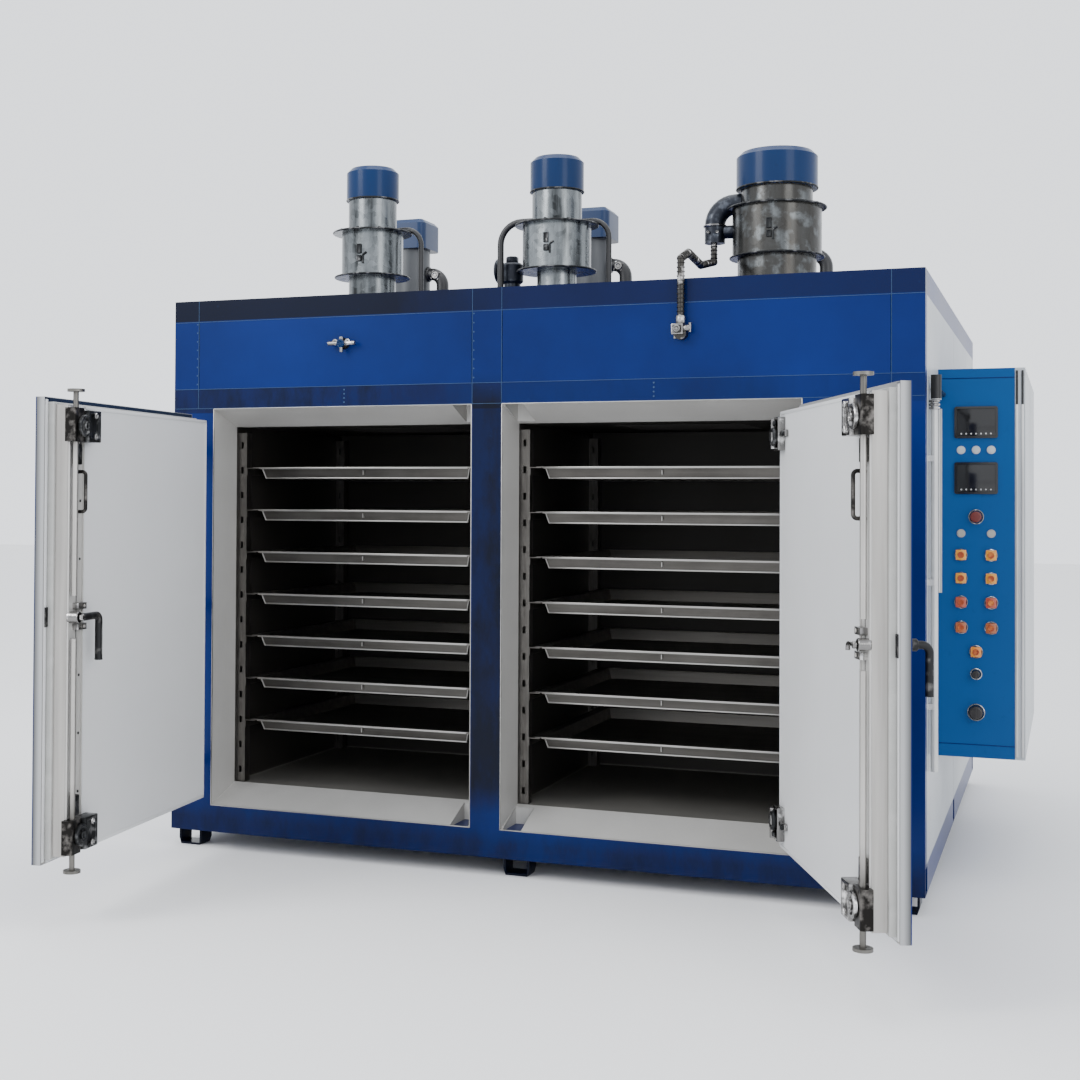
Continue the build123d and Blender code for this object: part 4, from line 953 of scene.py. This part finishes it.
def drum_clasps():
    """Draw latches that hold each drum's two halves, on the side that shows."""
    plates = []
    for name, radius, *_ in drums:
        x, y, _ = joints[name]["pos_m"]
        for z, size in ((0.262, 0.020), (0.222, 0.013)):
            low = (x - 0.010, y - radius - 0.008, roof_high.z + z - size)
            high = (x + 0.010, y - radius + 0.006, roof_high.z + z + size)
            plates.append(pressed(low, high, to_front, 0.004, 0.003, 0.002))
        plates.append(bent_bar((x + 0.016, y - radius - 0.003, roof_high.z + 0.200), upward, 0.004,
                               [0.03, (60, (0, 1, 0), 0.012), 0.012], 10))
    on_cabinet(plates, "drum_clasps", "rod_steel", dark_edge)


def control_details():
    """Bands, stile and louvres of the control cabinet."""
    box_low, box_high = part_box("control_box")
    door_low, door_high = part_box("control_door")
    y = door_low.y
    bands = [block((box_low.x, y - 0.0015, z0), (door_low.x, y + 0.001, z1), 0.0008)
             for z0, z1 in ((box_high.z - 0.036, box_high.z - 0.033), (box_low.z + 0.045, box_low.z + 0.048))]
    on_cabinet(bands, "control_bands", "cabinet_blue")
    stile = [block((x, y - 0.004, door_low.z + 0.01), (x + 0.008, y + 0.001, door_high.z - 0.01), 0.0015)
             for x in (door_low.x + 0.003, door_low.x + 0.022)]
    finished(joined(stile), "control_door_stile", "side_door", "pipe_steel")
    face = door_high.x
    slats = []
    for z in (door_low.z + 1.06, door_low.z + 0.24):
        for i in range(9):
            low = (face - 0.001, y + 0.52, z + 0.024 * i)
            high = (face - 0.0003, y + 0.86, z + 0.024 * i + 0.010)
            slats.append(block(low, high, 0.0002))
    finished(joined(slats), "control_louvres", "side_door", "rod_steel")


def display_details():
    """Glass and a row of small keys on each display."""
    low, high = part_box("displays")
    middle = (low.x + high.x) / 2
    glass, keys = [], []
    for top in (high.z, high.z - 0.202):
        z = top - 0.0575
        glass.append(block((middle - 0.066, low.y + 0.003, z - 0.049),
                           (middle + 0.066, low.y + 0.005, z + 0.049), 0.0006))
        keys += [head((middle + 0.017 * k, low.y + 0.003, z - 0.041), to_front, 0.0030, 0.0018, 12)
                 for k in range(-3, 4)]
    on_cabinet(glass, "display_glass", "display_black")
    on_cabinet(keys, "display_keys", "pipe_steel")


def panel_cap(x, z, y, size):
    """A square cap with rounded corners and a raised round lens on it."""
    cap = block((x - size, y - 0.0060, z - size), (x + size, y, z + size), 0.0045)
    lens = head((x, y - 0.0055, z), to_front, size * 0.62, 0.0035, 24, 0.35)
    return cap, lens


def control_caps():
    """Large square lenses over the lamps and buttons, with bright bezels behind them."""
    panel_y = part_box("control_box")[0].y
    middle = (cabinet_right + panel_right) / 2
    bezels = []
    for level in (0.730, 0.646):
        for k in (-1, 1):
            x, z = middle + k * 0.052, control_low_z + level
            cap, lens = panel_cap(x, z, panel_y - 0.0075, 0.0185)
            tag = f"{int(level * 1000)}_{'a' if k < 0 else 'b'}"
            finished(cap, f"lamp_cap_{tag}", fixed_body, "lamp_amber")
            finished(lens, f"lamp_lens_{tag}", fixed_body, "lamp_amber", amber_core)
            bezels.append(ring((x, panel_y - 0.0030, z), to_front, 0.0200, 0.0022))
    for i in range(1, 6):
        low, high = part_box(f"push_button_{i}")
        x, z = (low.x + high.x) / 2, (low.z + high.z) / 2
        cap, lens = panel_cap(x, z, low.y + 0.0015, 0.0185)
        finished(cap, f"button_cap_{i}", f"plunger_{i}", "button_orange")
        finished(lens, f"button_lens_{i}", f"plunger_{i}", "button_orange", amber_core)
        bezels.append(ring((x, panel_y - 0.0015, z), to_front, 0.0215, 0.0024))
    for name in ("emergency_button", "main_switch", "selector_knob"):
        low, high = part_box(name)
        radius = (high.x - low.x) / 2 + 0.0045
        bezels.append(ring(((low.x + high.x) / 2, panel_y - 0.0015, (low.z + high.z) / 2), to_front,
                           radius, 0.0026))
    on_cabinet(bezels, "control_bezels", "fitting_steel", chrome)


def pipe_details():
    """Chrome collar under the pipe's gland, and the light strip beside the control panel."""
    x, y = cabinet_right + 0.0185, face_y + 0.130
    collars = [ring((x, y, z), upward, 0.0150, 0.0045) for z in (1.700, 1.712, 1.724)]
    on_cabinet(collars, "pipe_collar", "pipe_steel", chrome)
    panel_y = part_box("control_box")[0].y
    strip = pressed((1.4515, panel_y - 0.004, 1.05), (1.4640, panel_y + 0.0005, 1.72), to_front,
                    0.003, 0.0015, 0.001)
    finished(strip, "control_side_strip", fixed_body, "pipe_steel")


def stage_and_light():
    """Pale floor, and soft studio light from the left, the right and above."""
    start()
    bpy.ops.mesh.primitive_plane_add(size=60, location=(0, 0, 0))
    floor = bpy.context.object
    floor.name = "studio_floor"
    pale = Finish("studio floor", roughness=0.9)
    pale.feed(base_color=pale.mix(pale.noise(2.0) * 0.2, (0.86, 0.86, 0.86), (0.82, 0.82, 0.82)))
    floor.data.materials.append(pale.data)
    world = bpy.data.worlds.new("studio")
    bpy.context.scene.world = world
    world.use_nodes = True
    backdrop = world.node_tree.nodes["Background"]
    backdrop.inputs["Color"].default_value = (0.92, 0.95, 1.0, 1.0)
    backdrop.inputs["Strength"].default_value = 1.9
    for name, place, size, power in (("key", (-4.5, -6.5, 5.5), 3.0, 280.0),
                                     ("fill", (6.5, -6.0, 3.5), 3.0, 110.0),
                                     ("roof", (0.0, -1.0, 6.5), 4.0, 120.0)):
        lamp = bpy.data.lights.new(name, "AREA")
        lamp.size = size
        lamp.energy = power
        holder = bpy.data.objects.new(name, lamp)
        holder.location = place
        aim = Vector((0.0, -0.8, 1.2)) - Vector(place)
        holder.rotation_euler = aim.to_track_quat("-Z", "Y").to_euler()
        bpy.context.scene.collection.objects.link(holder)


def camera():
    yaw, pitch, roll = (math.radians(v) for v in (camera_yaw, camera_pitch, camera_roll))
    ahead = Vector((-math.sin(yaw) * math.cos(pitch), math.cos(yaw) * math.cos(pitch), math.sin(pitch)))
    level = Vector((math.cos(yaw), math.sin(yaw), 0))
    above = level.cross(ahead)
    right = level * math.cos(roll) + above * math.sin(roll)
    up = above * math.cos(roll) - level * math.sin(roll)
    data = bpy.data.cameras.new("view")
    data.lens = camera_lens
    data.sensor_width = 36.0
    data.shift_x, data.shift_y = camera_shift
    holder = bpy.data.objects.new("view", data)
    turn = Matrix((right, up, -ahead)).transposed().to_4x4()
    holder.matrix_world = Matrix.Translation(camera_place) @ turn
    bpy.context.scene.collection.objects.link(holder)
    bpy.context.scene.camera = holder


camera()
dress_frame()
for door in ("left", "right"):
    lock_strip(door)
    panel_border(door)
    latch_castings(door)
    pivot_block(door)
    striker(door)
hinge_corner_brackets()
left_release()
right_release()
seam_beads()
throat_edges()
keeper_pockets()
tray_beads()
roof_hoses()
roof_valve()
conduit_hose()
wing_details()
drum_edges()
drum_clasps()
control_details()
display_details()
control_caps()
pipe_details()
stage_and_light()
